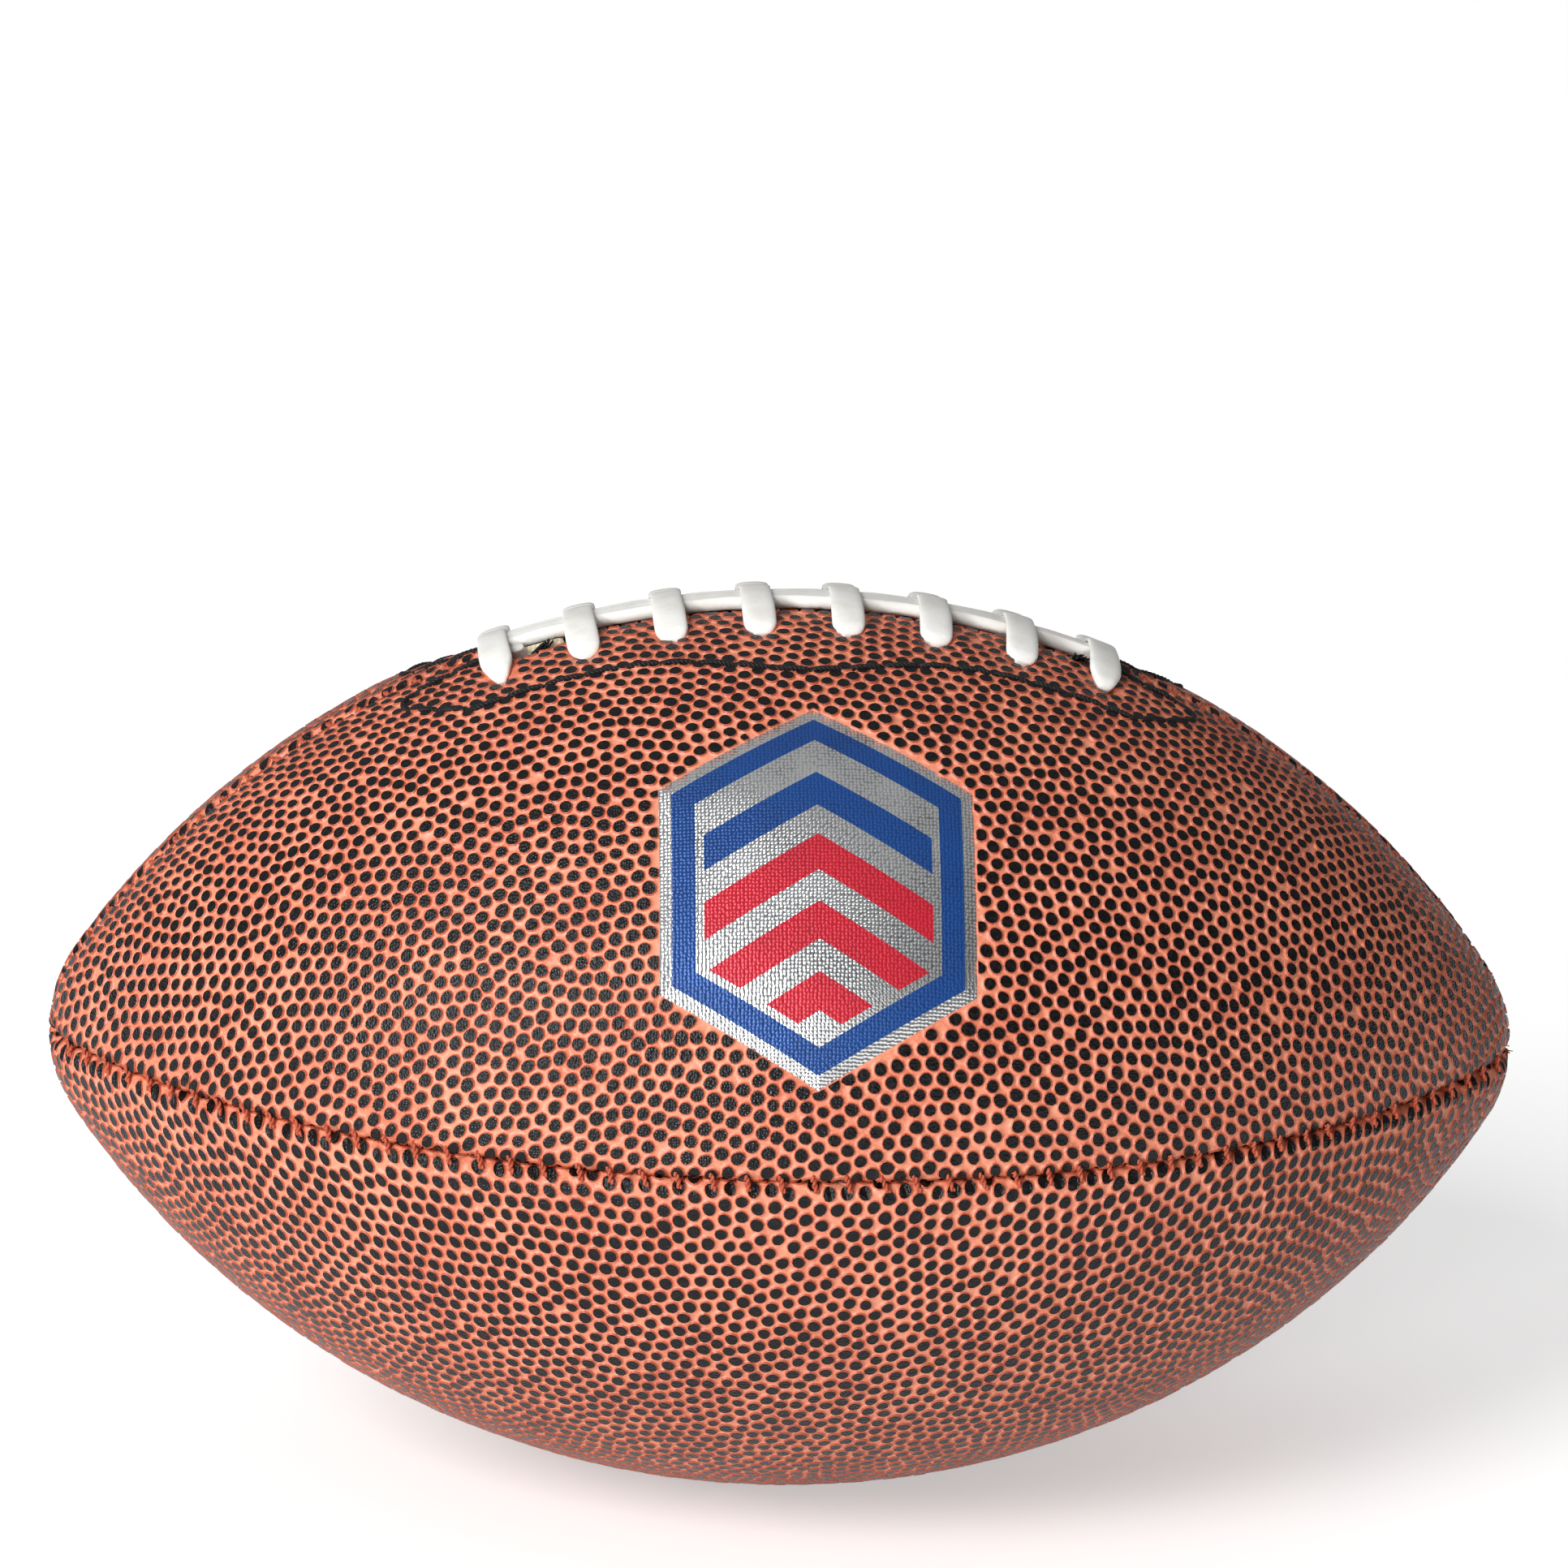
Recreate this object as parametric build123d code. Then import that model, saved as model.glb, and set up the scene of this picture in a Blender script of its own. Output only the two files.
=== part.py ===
from build123d import *
import math
import os

# Overall sizes of the ball, in millimetres. The long axis runs along X and the ball lies on Z = 0, laces up.
ball_length = 170.0
ball_diameter = 104.0
nose_radius = 15.7

# Layers of the casing, from the outside in.
cover_thickness = 1.6
lining_thickness = 0.6
facing_thickness = 0.8
tongue_thickness = 0.6
bladder_wall = 0.8
bond_gap = 0.2
bladder_gap = 0.3

# Sewn seams: the panel edges turn in and meet face to face.
seam_half_gap = 0.1
seam_edge_radius = 1.3
seam_thread_radius = 0.25
seam_thread_gap = 0.12
tip_hole_radius = 2.4
seam_thread_end_radius = 7.5

# Lacing: one flat lace, a strand along the slit and cross bars wound through two rows of holes.
crossbar_count = 8
crossbar_pitch = 10.1
lace_width = 4.0
lace_thickness = 1.3
lace_edge_chamfer = 0.35
lace_self_gap = 0.6
lace_hole_gap = 0.3
lace_bend_radius = 1.35
lace_shoulder_radius = 1.8
lace_crown_radius = 24.0
lace_leg_offset = 10.0
strand_lift = 0.3
lace_tail = 4.0
lace_across_shares = (-0.5, -0.25, 0, 0.25, 0.5)
slit_side_gap = 0.35

# Reinforcing facings behind the slit, and the black thread that sews them on. They reach past the slit's
# ends and outside the rows of lace holes.
leaf_tip_reach = 10.9
leaf_tip_side = 3.15
leaf_shoulder_reach = 2.4
leaf_shoulder_side = 3.6
leaf_bulge_side = 7.2
facing_margin = 2.0
stitch_length = 3.6
stitch_pitch = 4.2
stitch_radius = 0.45
stitch_lift = 0.06
stitch_sides = 6

# Tongue that keeps the lace off the bladder.
tongue_half_width = 12.0
tongue_end_gap = 0.6

# Inflation valve, on the rear upper panel at mid length.
valve_angle = 42.0
valve_neck_radius = 2.2
valve_hole_gap = 0.25
valve_recess = 0.3
valve_flange_radius = 6.5
valve_flange_thickness = 1.2
valve_stem_radius = 2.8
valve_stem_length = 7.0
plug_radius = 1.6
plug_head_radius = 1.9
plug_head_thickness = 0.5
plug_fit_gap = 0.05
needle_radius = 1.0
needle_depth = 6.0

# Places that follow from the sizes above.
half_length = ball_length / 2
axis_height = ball_diameter / 2
nose_centre = half_length - nose_radius
belly_radius = (nose_centre ** 2 + axis_height ** 2 - nose_radius ** 2) / (2 * (axis_height - nose_radius))
arc_drop = belly_radius - axis_height
belly_centre_height = axis_height - arc_drop
nose_angle = math.atan2(nose_centre, arc_drop)
lining_depth = cover_thickness + bond_gap
facing_depth = lining_depth + lining_thickness + bond_gap
facing_back_depth = facing_depth + facing_thickness
overrun = ball_diameter

# The lace lies in a polar frame about the centre of the belly arc, so every loop is the same loop turned.
crossbar_step = math.degrees(crossbar_pitch / belly_radius)
last_crossbar_angle = crossbar_step * (crossbar_count - 1) / 2
crossbar_angles = [last_crossbar_angle - crossbar_step * number for number in range(crossbar_count)]
strand_level = strand_lift + lace_thickness / 2
crown_level = strand_lift + lace_thickness + lace_self_gap + lace_thickness / 2
leg_surface_drop = axis_height - math.sqrt(axis_height ** 2 - lace_leg_offset ** 2)
inside_level = -(facing_back_depth + leg_surface_drop + bond_gap + lace_thickness / 2)
run_end_offset = lace_leg_offset - lace_bend_radius
dive_angle = last_crossbar_angle - math.degrees(lace_bend_radius / (belly_radius + strand_level))
slit_half_gap = lace_width / 2 + slit_side_gap
slit_angle = last_crossbar_angle + math.degrees((lace_thickness / 2 + slit_side_gap) / belly_radius)
corner_shift = lace_bend_radius * 2 + lace_width / 2
corner_reach = lace_bend_radius + lace_width + lace_thickness / 2
slit_run_angle = last_crossbar_angle + math.degrees((corner_reach + slit_side_gap) / belly_radius)
tongue_depth = lace_thickness / 2 - inside_level + bond_gap + bladder_gap
bladder_depth = tongue_depth + tongue_thickness + bladder_gap
seam_allowance = bladder_depth - bladder_gap

ball_axis = Axis((0, 0, axis_height), (1, 0, 0))
lace_axis = Axis((0, 0, belly_centre_height), (0, 1, 0))


def skin_radius(x, depth=0):
    """Radius of the ball at x, for the surface that lies depth below the skin."""
    reach = abs(x)
    if reach < (belly_radius - depth) * math.sin(nose_angle):
        return math.sqrt((belly_radius - depth) ** 2 - reach ** 2) - arc_drop
    return math.sqrt(max((nose_radius - depth) ** 2 - (reach - nose_centre) ** 2, 0))


def meridian_points(depth):
    """Corners and arc points of the half outline at a depth, from one nose to the other, in the XZ plane."""
    belly = belly_radius - depth
    nose = nose_radius - depth
    join = Vector(belly * math.sin(nose_angle), 0, belly_centre_height + belly * math.cos(nose_angle))
    half_turn = (math.pi / 2 + nose_angle) / 2
    swell = Vector(nose_centre + nose * math.sin(half_turn), 0, axis_height + nose * math.cos(half_turn))
    tip = Vector(half_length - depth, 0, axis_height)
    crown = Vector(0, 0, axis_height * 2 - depth)
    return [tip, swell, join, crown]


def mirror_x(point):
    """The same point at the other end of the ball."""
    return Vector(-point.X, point.Y, point.Z)


def ball_body(depth):
    """Solid of revolution inside the surface that lies depth below the skin."""
    tip, swell, join, crown = meridian_points(depth)
    outline = [
        ThreePointArc(mirror_x(tip), mirror_x(swell), mirror_x(join)),
        ThreePointArc(mirror_x(join), crown, join),
        ThreePointArc(join, swell, tip),
        Line(tip, mirror_x(tip)),
    ]
    return revolve(make_face(outline), ball_axis)


def quarter_block(side, level, inset):
    """Block that fills one quarter of space, inset from both seam planes."""
    block = Box(ball_length * 2, overrun, overrun)
    return Pos(0, side * (inset + overrun / 2), axis_height + level * (inset + overrun / 2)) * block


def lace_sector(angle, half_width):
    """Wedge about the belly arc's centre that spans the slit out to an angle on each side."""
    lean = math.radians(angle)
    outward = Vector(math.sin(lean), 0, math.cos(lean))
    heart = Vector(0, 0, belly_centre_height)
    inner = heart + outward * arc_drop
    outer = heart + outward * (belly_radius + overrun)
    wedge = make_face(Polyline(inner, outer, mirror_x(outer), mirror_x(inner), close=True))
    return extrude(wedge, half_width, dir=(0, 1, 0), both=True)


def turn_along_slit(shape, angle):
    """Carry a shape made over the middle of the slit to an angle along it."""
    return shape.rotate(lace_axis, angle)


def lace_holes(side):
    """Slots for the lace on one side of the slit, square to the skin at each cross bar."""
    slot = Box(lace_width + lace_hole_gap * 2, lace_thickness + lace_hole_gap * 2, overrun)
    slot = Pos(0, side * lace_leg_offset, ball_diameter) * slot
    return [turn_along_slit(slot, angle) for angle in crossbar_angles]


def valve_frame(depth):
    """Plane on the valve's axis at a depth below the skin, facing out of the rear upper panel."""
    lean = math.radians(valve_angle)
    out = Vector(0, math.sin(lean), math.cos(lean))
    return Plane(Vector(0, 0, axis_height) + out * (axis_height - depth), x_dir=(1, 0, 0), z_dir=out)


def valve_hole(radius):
    """Round cutter on the valve's axis, from outside down to the ball's middle."""
    return extrude(valve_frame(axis_height) * Circle(radius), overrun)


def tip_holes():
    """Small bore at both noses, where the points of the four panels come together."""
    return Pos(0, 0, axis_height) * (Rot(0, 90, 0) * Cylinder(tip_hole_radius, ball_length * 2))


def leaf_outline(side, margin):
    """Plan edges of a facing leaf, from one slit end round its tips to the other, grown by a margin."""
    level = axis_height
    slit_end = belly_radius * math.sin(math.radians(slit_angle))
    root = Vector(slit_end, side * slit_half_gap, level)
    tip = Vector(slit_end + leaf_tip_reach + margin, side * (slit_half_gap + leaf_tip_side), level)
    shoulder_offset = lace_leg_offset + leaf_shoulder_side + margin
    shoulder = Vector(slit_end + leaf_shoulder_reach + margin, side * shoulder_offset, level)
    bulge = Vector(0, side * (lace_leg_offset + leaf_bulge_side + margin), level)
    return [
        Line(mirror_x(root), mirror_x(tip)),
        Line(mirror_x(tip), mirror_x(shoulder)),
        ThreePointArc(mirror_x(shoulder), bulge, shoulder),
        Line(shoulder, tip),
        Line(tip, root),
    ]


ball = ball_body(0)
cover_inside = ball_body(cover_thickness)
allowance_inside = ball_body(seam_allowance)
slit = lace_sector(slit_angle, slit_half_gap)
slit_run = lace_sector(slit_run_angle, slit_half_gap) & cover_inside


def cover_panel(side, level):
    """One quarter of the cover with its turned-in seam allowances and rolled seam edges."""
    flanged = (ball - allowance_inside) - quarter_block(side, level, seam_half_gap + cover_thickness)
    panel = (ball - cover_inside) + flanged
    panel = panel & quarter_block(side, level, seam_half_gap)
    panel -= tip_holes()
    if level > 0:
        panel = panel - slit - slit_run
    rolled = [edge for edge in panel.edges() if is_seam_edge(edge, side, level)]
    panel = fillet(rolled, seam_edge_radius)
    if level > 0:
        panel -= lace_holes(side)
        if side > 0:
            panel -= valve_hole(valve_neck_radius + valve_hole_gap)
    return panel


def is_seam_edge(edge, side, level):
    """True for an edge on the skin that lies in one of the panel's two seam planes."""
    middle = edge.position_at(1 / 2)
    tolerance = seam_half_gap / 10
    on_skin = abs(math.hypot(middle.Y, middle.Z - axis_height) - skin_radius(middle.X)) < tolerance
    on_long = abs(middle.Y - side * seam_half_gap) < tolerance
    on_side = abs(middle.Z - axis_height - level * seam_half_gap) < tolerance
    return on_skin and (on_long or on_side)


def lining_panel(side, level):
    """Woven lining on the back of one cover panel, inside its seam allowances."""
    inset = seam_half_gap + cover_thickness + bond_gap
    lining = ball_body(lining_depth) - ball_body(lining_depth + lining_thickness)
    lining = lining & quarter_block(side, level, inset)
    if level > 0:
        lining -= [lace_sector(slit_run_angle, slit_half_gap), *lace_holes(side)]
        if side > 0:
            lining -= valve_hole(valve_neck_radius + valve_hole_gap)
    return lining


def lace_facing(side):
    """Leaf-shaped reinforcement behind one edge of the slit, with the lace holes through it."""
    outline = leaf_outline(side, facing_margin)
    slit_edge = Line(outline[-1] @ 1, outline[0] @ 0)
    leaf = extrude(make_face([*outline, slit_edge]), overrun, dir=(0, 0, 1))
    layer = ball_body(facing_depth) - ball_body(facing_back_depth)
    return (layer & leaf) - lace_holes(side)


def canvas_tongue():
    """Canvas strip under the whole slit, between the lace and the bladder."""
    layer = ball_body(tongue_depth) - ball_body(tongue_depth + tongue_thickness)
    end_angle = slit_run_angle - math.degrees(tongue_end_gap / belly_radius)
    return layer & lace_sector(end_angle, tongue_half_width)


def inner_bladder():
    """Hollow rubber bladder with the opening for its valve."""
    shell = ball_body(bladder_depth) - ball_body(bladder_depth + bladder_wall)
    return shell - valve_hole(valve_stem_radius + valve_hole_gap)


def lace_section(plane):
    """Flat lace section with eased edges, its width along the plane's first direction."""
    return plane * chamfer(Rectangle(lace_width, lace_thickness).vertices(), lace_edge_chamfer)


def over_slit(y, level):
    """Point above the middle of the slit, at a height over the skin."""
    return Vector(0, y, ball_diameter + level)


class Stretch:
    """One stretch of the lace: its solid, its centre line and the direction of its width."""

    def __init__(self, solid, route, across):
        self.solid = solid
        self.route = route
        self.across = across

    def turned(self, angle):
        """The same stretch carried to an angle along the slit."""
        route = turn_along_slit(self.route, angle)
        across = self.across.rotate(lace_axis, angle)
        return Stretch(turn_along_slit(self.solid, angle), route, across)

    def points(self):
        """Points on both broad faces, close enough to measure a gap between two stretches."""
        steps = 2 + int(self.route.length / lace_thickness * 2)
        cloud = []
        for step in range(steps):
            middle = self.route @ (step / (steps - 1))
            out = self.across.cross(self.route % (step / (steps - 1)))
            for share in lace_across_shares:
                for face in (lace_thickness / 2, -lace_thickness / 2):
                    cloud.append(tuple(middle + self.across * (lace_width * share) + out * face))
        return cloud


def cross_bar():
    """One cross bar: up through its rear hole, over the strand and down through its front hole."""
    shoulder_y = lace_leg_offset - lace_shoulder_radius
    crown_rise = math.sqrt((lace_crown_radius - lace_shoulder_radius) ** 2 - shoulder_y ** 2)
    crown_centre = crown_level - lace_crown_radius
    shoulder_level = crown_centre + crown_rise
    lean = math.atan2(shoulder_y, crown_rise)
    join = over_slit(lace_crown_radius * math.sin(lean), crown_centre + lace_crown_radius * math.cos(lean))
    half_lean = (math.pi / 2 + lean) / 2
    swell = over_slit(shoulder_y + lace_shoulder_radius * math.sin(half_lean),
                      shoulder_level + lace_shoulder_radius * math.cos(half_lean))
    shoulder = over_slit(lace_leg_offset, shoulder_level)
    foot = over_slit(lace_leg_offset, inside_level + lace_bend_radius)
    quarter = lace_bend_radius * math.sin(math.pi / 4)
    heel = over_slit(run_end_offset + quarter, inside_level + lace_bend_radius - quarter)
    end = over_slit(run_end_offset, inside_level)
    half = [
        ThreePointArc(end, heel, foot),
        Line(foot, shoulder),
        ThreePointArc(shoulder, swell, join),
    ]
    front = [edge.mirror(Plane.XZ) for edge in reversed(half)]
    crown = ThreePointArc(join, over_slit(0, crown_level), Vector(join.X, -join.Y, join.Z))
    route = Wire([*half, crown, *front])
    start = Plane(end, x_dir=(1, 0, 0), z_dir=(0, 1, 0))
    return Stretch(sweep(lace_section(start), path=route), route, start.x_dir)


def run_plane(shift, y):
    """Plane across the inside lace at a distance from the slit, made over mid slit."""
    return Plane(over_slit(y, inside_level) + Vector(shift, 0, 0), x_dir=(1, 0, 0), z_dir=(0, 1, 0))


def run_between(start_plane, start_angle, end_plane, end_angle):
    """Slanting stretch inside the ball between two upright sections of the lace."""
    start = turn_along_slit(lace_section(start_plane), start_angle)
    end = turn_along_slit(lace_section(end_plane), end_angle)
    route = Wire([Line(start.center(), end.center())])
    across = start_plane.x_dir.rotate(lace_axis, (start_angle + end_angle) / 2)
    return Stretch(loft([start, end], ruled=True), route, across)


def strand_dive(tail):
    """End of the strand: down through the slit, then outward along the inside, made over mid slit."""
    quarter = lace_bend_radius * (1 - math.sin(math.pi / 4))
    top = over_slit(0, strand_level)
    brink = top + Vector(lace_bend_radius - quarter, 0, -quarter)
    drop = top + Vector(lace_bend_radius, 0, -lace_bend_radius)
    bottom = over_slit(0, inside_level + lace_bend_radius) + Vector(lace_bend_radius, 0, 0)
    turn = bottom + Vector(quarter, 0, quarter - lace_bend_radius)
    level = bottom + Vector(lace_bend_radius, 0, -lace_bend_radius)
    end = level + Vector(tail, 0, 0)
    route = Wire([
        ThreePointArc(top, brink, drop),
        Line(drop, bottom),
        ThreePointArc(bottom, turn, level),
        Line(level, end),
    ])
    start = Plane(top, x_dir=(0, 1, 0), z_dir=(1, 0, 0))
    return Stretch(sweep(lace_section(start), path=route), route, start.x_dir)


def strand():
    """Lengthwise strand that lies over the slit, under every cross bar."""
    radius = belly_radius + strand_level
    lean = math.radians(dive_angle)
    reach = Vector(radius * math.sin(lean), 0, belly_centre_height + radius * math.cos(lean))
    route = Wire([ThreePointArc(mirror_x(reach), over_slit(0, strand_level), reach)])
    start = Plane(mirror_x(reach), x_dir=(0, 1, 0), z_dir=route % 0)
    return Stretch(sweep(lace_section(start), path=route), route, start.x_dir)


def lace_corner():
    """Flat turn from the strand's inside end towards the first rear hole, made over mid slit."""
    return extrude(lace_section(run_plane(corner_shift, -lace_width / 2)), lace_width)


def lace_stretches():
    """Every stretch of the one lace, in the order that it runs."""
    left_dive = strand_dive(lace_tail)
    left_dive.solid = left_dive.solid.mirror(Plane.YZ)
    left_dive.route = left_dive.route.mirror(Plane.YZ)
    right_dive = strand_dive(lace_width)
    right_dive.solid += lace_corner()
    stretches = [left_dive.turned(-dive_angle), strand(), right_dive.turned(dive_angle)]
    corner_plane = run_plane(corner_shift, lace_width / 2)
    front_plane = run_plane(0, -run_end_offset)
    rear_plane = run_plane(0, run_end_offset)
    stretches.append(run_between(corner_plane, dive_angle, rear_plane, last_crossbar_angle))
    loop = cross_bar()
    for number, angle in enumerate(crossbar_angles):
        stretches.append(loop.turned(angle))
        if number + 1 < crossbar_count:
            stretches.append(run_between(front_plane, angle, rear_plane, crossbar_angles[number + 1]))
    tail_plane = run_plane(0, lace_tail - run_end_offset)
    stretches.append(run_between(front_plane, -last_crossbar_angle, tail_plane, -last_crossbar_angle))
    return stretches


def least_self_gap(stretches):
    """Least distance between points of two stretches of the lace that don't follow one another."""
    cells = {}
    for number, stretch in enumerate(stretches):
        for point in stretch.points():
            cell = tuple(math.floor(value / lace_width) for value in point)
            cells.setdefault(cell, []).append((number, point))
    least = lace_width
    for cell, members in cells.items():
        nearby = []
        for number in range(27):
            step = (number % 3 - 1, number // 3 % 3 - 1, number // 9 - 1)
            nearby += cells.get(tuple(a + b for a, b in zip(cell, step)), [])
        for number, point in members:
            for other, place in nearby:
                if other > number + 1:
                    least = min(least, math.dist(point, place))
    return least


def seam_thread_depth():
    """Depth at which a thread rests between two rolled edges."""
    reach = seam_edge_radius + seam_thread_radius + seam_thread_gap
    return seam_edge_radius - math.sqrt(reach ** 2 - (seam_edge_radius + seam_half_gap) ** 2)


def upper_arc(depth, angle_from, angle_to, centre_x, centre_z, radius):
    """Arc of a meridian about a centre, between two angles from the vertical."""
    def place(angle):
        return Vector(centre_x + (radius - depth) * math.sin(angle), 0, centre_z + (radius - depth) * math.cos(angle))
    return ThreePointArc(place(angle_from), place((angle_from + angle_to) / 2), place(angle_to))


def seam_thread(from_angle):
    """Thread in a groove over the ball's upper half, from an angle along the belly arc out to the right nose."""
    depth = seam_thread_depth()
    end_angle = math.pi / 2 - math.asin(seam_thread_end_radius / nose_radius)
    route = [upper_arc(depth, from_angle, nose_angle, 0, belly_centre_height, belly_radius)]
    route.append(upper_arc(depth, nose_angle, end_angle, nose_centre, axis_height, nose_radius))
    wire = Wire(route)
    start = Plane(wire.position_at(0), z_dir=wire.tangent_at(0))
    return sweep(start * Circle(seam_thread_radius), path=wire)


def whole_seam_thread():
    """Thread along a whole seam, from nose to nose, made in the top seam's place."""
    half = seam_thread(0)
    return half + half.mirror(Plane.YZ)


def slit_seam_threads():
    """Two threads of the top seam, beyond both ends of the slit."""
    clear_angle = math.radians(slit_angle) + lace_width / belly_radius
    right = seam_thread(clear_angle)
    return Compound(children=[right, right.mirror(Plane.YZ)])


def stitch_place(plan):
    """Point where a stitch's centre line lies over the skin, above a place in plan."""
    across = skin_radius(plan.X)
    swell = (across + stitch_radius + stitch_lift) / across
    return Vector(plan.X, plan.Y * swell, axis_height + math.sqrt(across ** 2 - plan.Y ** 2) * swell)


def facing_stitches(side):
    """Row of surface stitches along the outline of one facing."""
    line = Wire(leaf_outline(side, 0))
    count = int(line.length / stitch_pitch)
    spare = (line.length - count * stitch_pitch + stitch_pitch - stitch_length) / 2
    stitches = []
    for number in range(count):
        begin = spare + number * stitch_pitch
        start = stitch_place(line.position_at(begin, position_mode=PositionMode.LENGTH))
        end = stitch_place(line.position_at(begin + stitch_length, position_mode=PositionMode.LENGTH))
        plane = Plane(start, z_dir=end - start)
        stitches.append(extrude(plane * RegularPolygon(stitch_radius, stitch_sides), (end - start).length))
    return Compound(children=stitches)


def turned_on_valve(outline):
    """Solid of revolution about the valve's axis from (radius, depth) corners."""
    frame = valve_frame(0)
    corners = [frame.from_local_coords(Vector(radius, 0, -depth)) for radius, depth in outline]
    face = make_face(Polyline(*corners, close=True))
    return revolve(face, Axis(frame.origin, frame.z_dir))


flange_top = bladder_depth - bladder_gap - valve_flange_thickness
flange_bottom = bladder_depth - bladder_gap
stem_end = flange_bottom + valve_stem_length
plug_seat = valve_recess + plug_head_thickness + plug_fit_gap


def valve_housing():
    """Moulded rubber boss: neck through the cover, flange on the bladder, stem inside it."""
    socket = plug_radius + plug_fit_gap
    head = plug_head_radius + plug_fit_gap
    return turned_on_valve([
        (head, valve_recess),
        (valve_neck_radius, valve_recess),
        (valve_neck_radius, flange_top),
        (valve_flange_radius, flange_top),
        (valve_flange_radius, flange_bottom),
        (valve_stem_radius, flange_bottom),
        (valve_stem_radius, stem_end),
        (socket, stem_end),
        (socket, plug_seat),
        (head, plug_seat),
    ])


def valve_plug():
    """Self-sealing core with the blind hole that guides the inflation needle."""
    return turned_on_valve([
        (needle_radius, valve_recess),
        (plug_head_radius, valve_recess),
        (plug_head_radius, valve_recess + plug_head_thickness),
        (plug_radius, valve_recess + plug_head_thickness),
        (plug_radius, stem_end),
        (0, stem_end),
        (0, valve_recess + needle_depth),
        (needle_radius, valve_recess + needle_depth),
    ])


def place_in_side_seam(shape, side):
    """Turn a thread made in the top seam into the front or rear seam."""
    return shape.rotate(ball_axis, -90 * side)


def build_nodes():
    """All pieces of the ball by name."""
    nodes = {}
    for side_name, side in (("front", -1), ("rear", 1)):
        for level_name, level in (("upper", 1), ("lower", -1)):
            nodes[f"{side_name}_{level_name}_panel"] = cover_panel(side, level)
            nodes[f"{side_name}_{level_name}_lining"] = lining_panel(side, level)
        nodes[f"{side_name}_lace_facing"] = lace_facing(side)
        nodes[f"{side_name}_facing_stitch"] = facing_stitches(side)
        nodes[f"{side_name}_seam_thread"] = place_in_side_seam(whole_seam_thread(), side)
    nodes["top_seam_thread"] = slit_seam_threads()
    nodes["bottom_seam_thread"] = whole_seam_thread().rotate(ball_axis, 180)
    nodes["tongue"] = canvas_tongue()
    nodes["bladder"] = inner_bladder()
    nodes["valve_housing"] = valve_housing()
    nodes["valve_plug"] = valve_plug()
    stretches = lace_stretches()
    print(f"lace least gap to itself {least_self_gap(stretches):.2f} mm")
    lace = stretches[0].solid.fuse(*[stretch.solid for stretch in stretches[1:]])
    run = sum(stretch.route.length for stretch in stretches)
    section_length = lace.volume / lace_section(Plane.XY).area
    print(f"lace route {run:.0f} mm, volume over section {section_length:.0f} mm")
    nodes["lace"] = lace
    return nodes


os.makedirs("parts", exist_ok=True)
for node_name, solid in build_nodes().items():
    export_step(solid, os.path.join("parts", f"{node_name}.step"))
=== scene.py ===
"""American football with pebbled cover panels, vinyl lacing and sewn seams, dressed around its CAD frame."""

import logging
import math
from dataclasses import dataclass, field
from enum import Enum, IntEnum

import bpy
import numpy as np
from mathutils import Matrix, Vector
from mathutils.geometry import delaunay_2d_cdt


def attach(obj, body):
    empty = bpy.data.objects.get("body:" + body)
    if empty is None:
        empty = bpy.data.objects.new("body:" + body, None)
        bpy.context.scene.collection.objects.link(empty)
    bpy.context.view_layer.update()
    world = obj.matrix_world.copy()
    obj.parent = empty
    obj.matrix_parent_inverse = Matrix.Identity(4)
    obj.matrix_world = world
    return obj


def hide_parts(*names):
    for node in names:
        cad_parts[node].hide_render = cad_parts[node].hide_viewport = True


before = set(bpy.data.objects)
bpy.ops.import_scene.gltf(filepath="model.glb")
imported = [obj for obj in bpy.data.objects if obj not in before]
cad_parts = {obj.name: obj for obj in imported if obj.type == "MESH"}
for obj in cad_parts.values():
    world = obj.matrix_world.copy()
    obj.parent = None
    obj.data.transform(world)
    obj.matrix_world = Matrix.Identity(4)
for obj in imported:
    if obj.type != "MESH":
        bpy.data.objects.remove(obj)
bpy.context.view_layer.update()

log = logging.getLogger("football")

# Shapes are worked out in millimetres and become metres in the mesh.
MM = 0.001
BODY = "root"
WHITE = "#FFFFFF"
TURN = 2 * math.pi
QUARTER = math.pi / 2

# Half the angle that one cover panel takes about the long axis.
HALF_PANEL = math.pi / 4

# A direction that no cord starts along, from which its first ring is turned.
CORD_GUIDE = (0.3, 0.5, 0.81)

Array = np.ndarray
Draws = np.random.Generator
Item = bpy.types.Object
Material = bpy.types.Material
Socket = bpy.types.NodeSocket
Tree = bpy.types.NodeTree
Span = tuple[float, float]
Triple = tuple[float, float, float]


class Choice(Enum):
    """A choice whose name goes into the names of pieces."""

    @property
    def word(self) -> str:
        """The name in small letters."""
        return self.name.lower()


class Side(Choice):
    """Which way a panel or a stitch row faces along Y."""

    FRONT = -1
    REAR = 1


class Level(Choice):
    """Whether a panel is above or below the side seams."""

    UPPER = 1
    LOWER = -1


class Seam(Choice):
    """The four long seams by the direction that each one faces, as (y, z)."""

    FRONT = (-1, 0)
    REAR = (1, 0)
    TOP = (0, 1)
    BOTTOM = (0, -1)


class Skin(IntEnum):
    """Finish slots of a cover panel."""

    HIDE = 0
    INK = 1
    SILVER = 2
    BLUE = 3
    RED = 4
    LINING = 5
    # The flank slot holds a darker red painted on the pebbles' walls as shade.
    PAINTED_SHADE_FLANK = 6


def linear(code: str) -> tuple[float, float, float, float]:
    """Turn an sRGB hex colour into linear light by the standard's own formula.

    Args:
        code: Six hex digits after a hash sign.

    Returns:
        Red, green, blue and an alpha of one.
    """
    parts = [int(code[place:place + 2], 16) / 255 for place in (1, 3, 5)]
    light = [part / 12.92 if part <= 0.04045 else ((part + 0.055) / 1.055) ** 2.4 for part in parts]
    return (light[0], light[1], light[2], 1.0)


def per_mm(size: float) -> float:
    """Texture scale at which one cell of a pattern is a size in millimetres."""
    return 1 / (size * MM)


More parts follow.
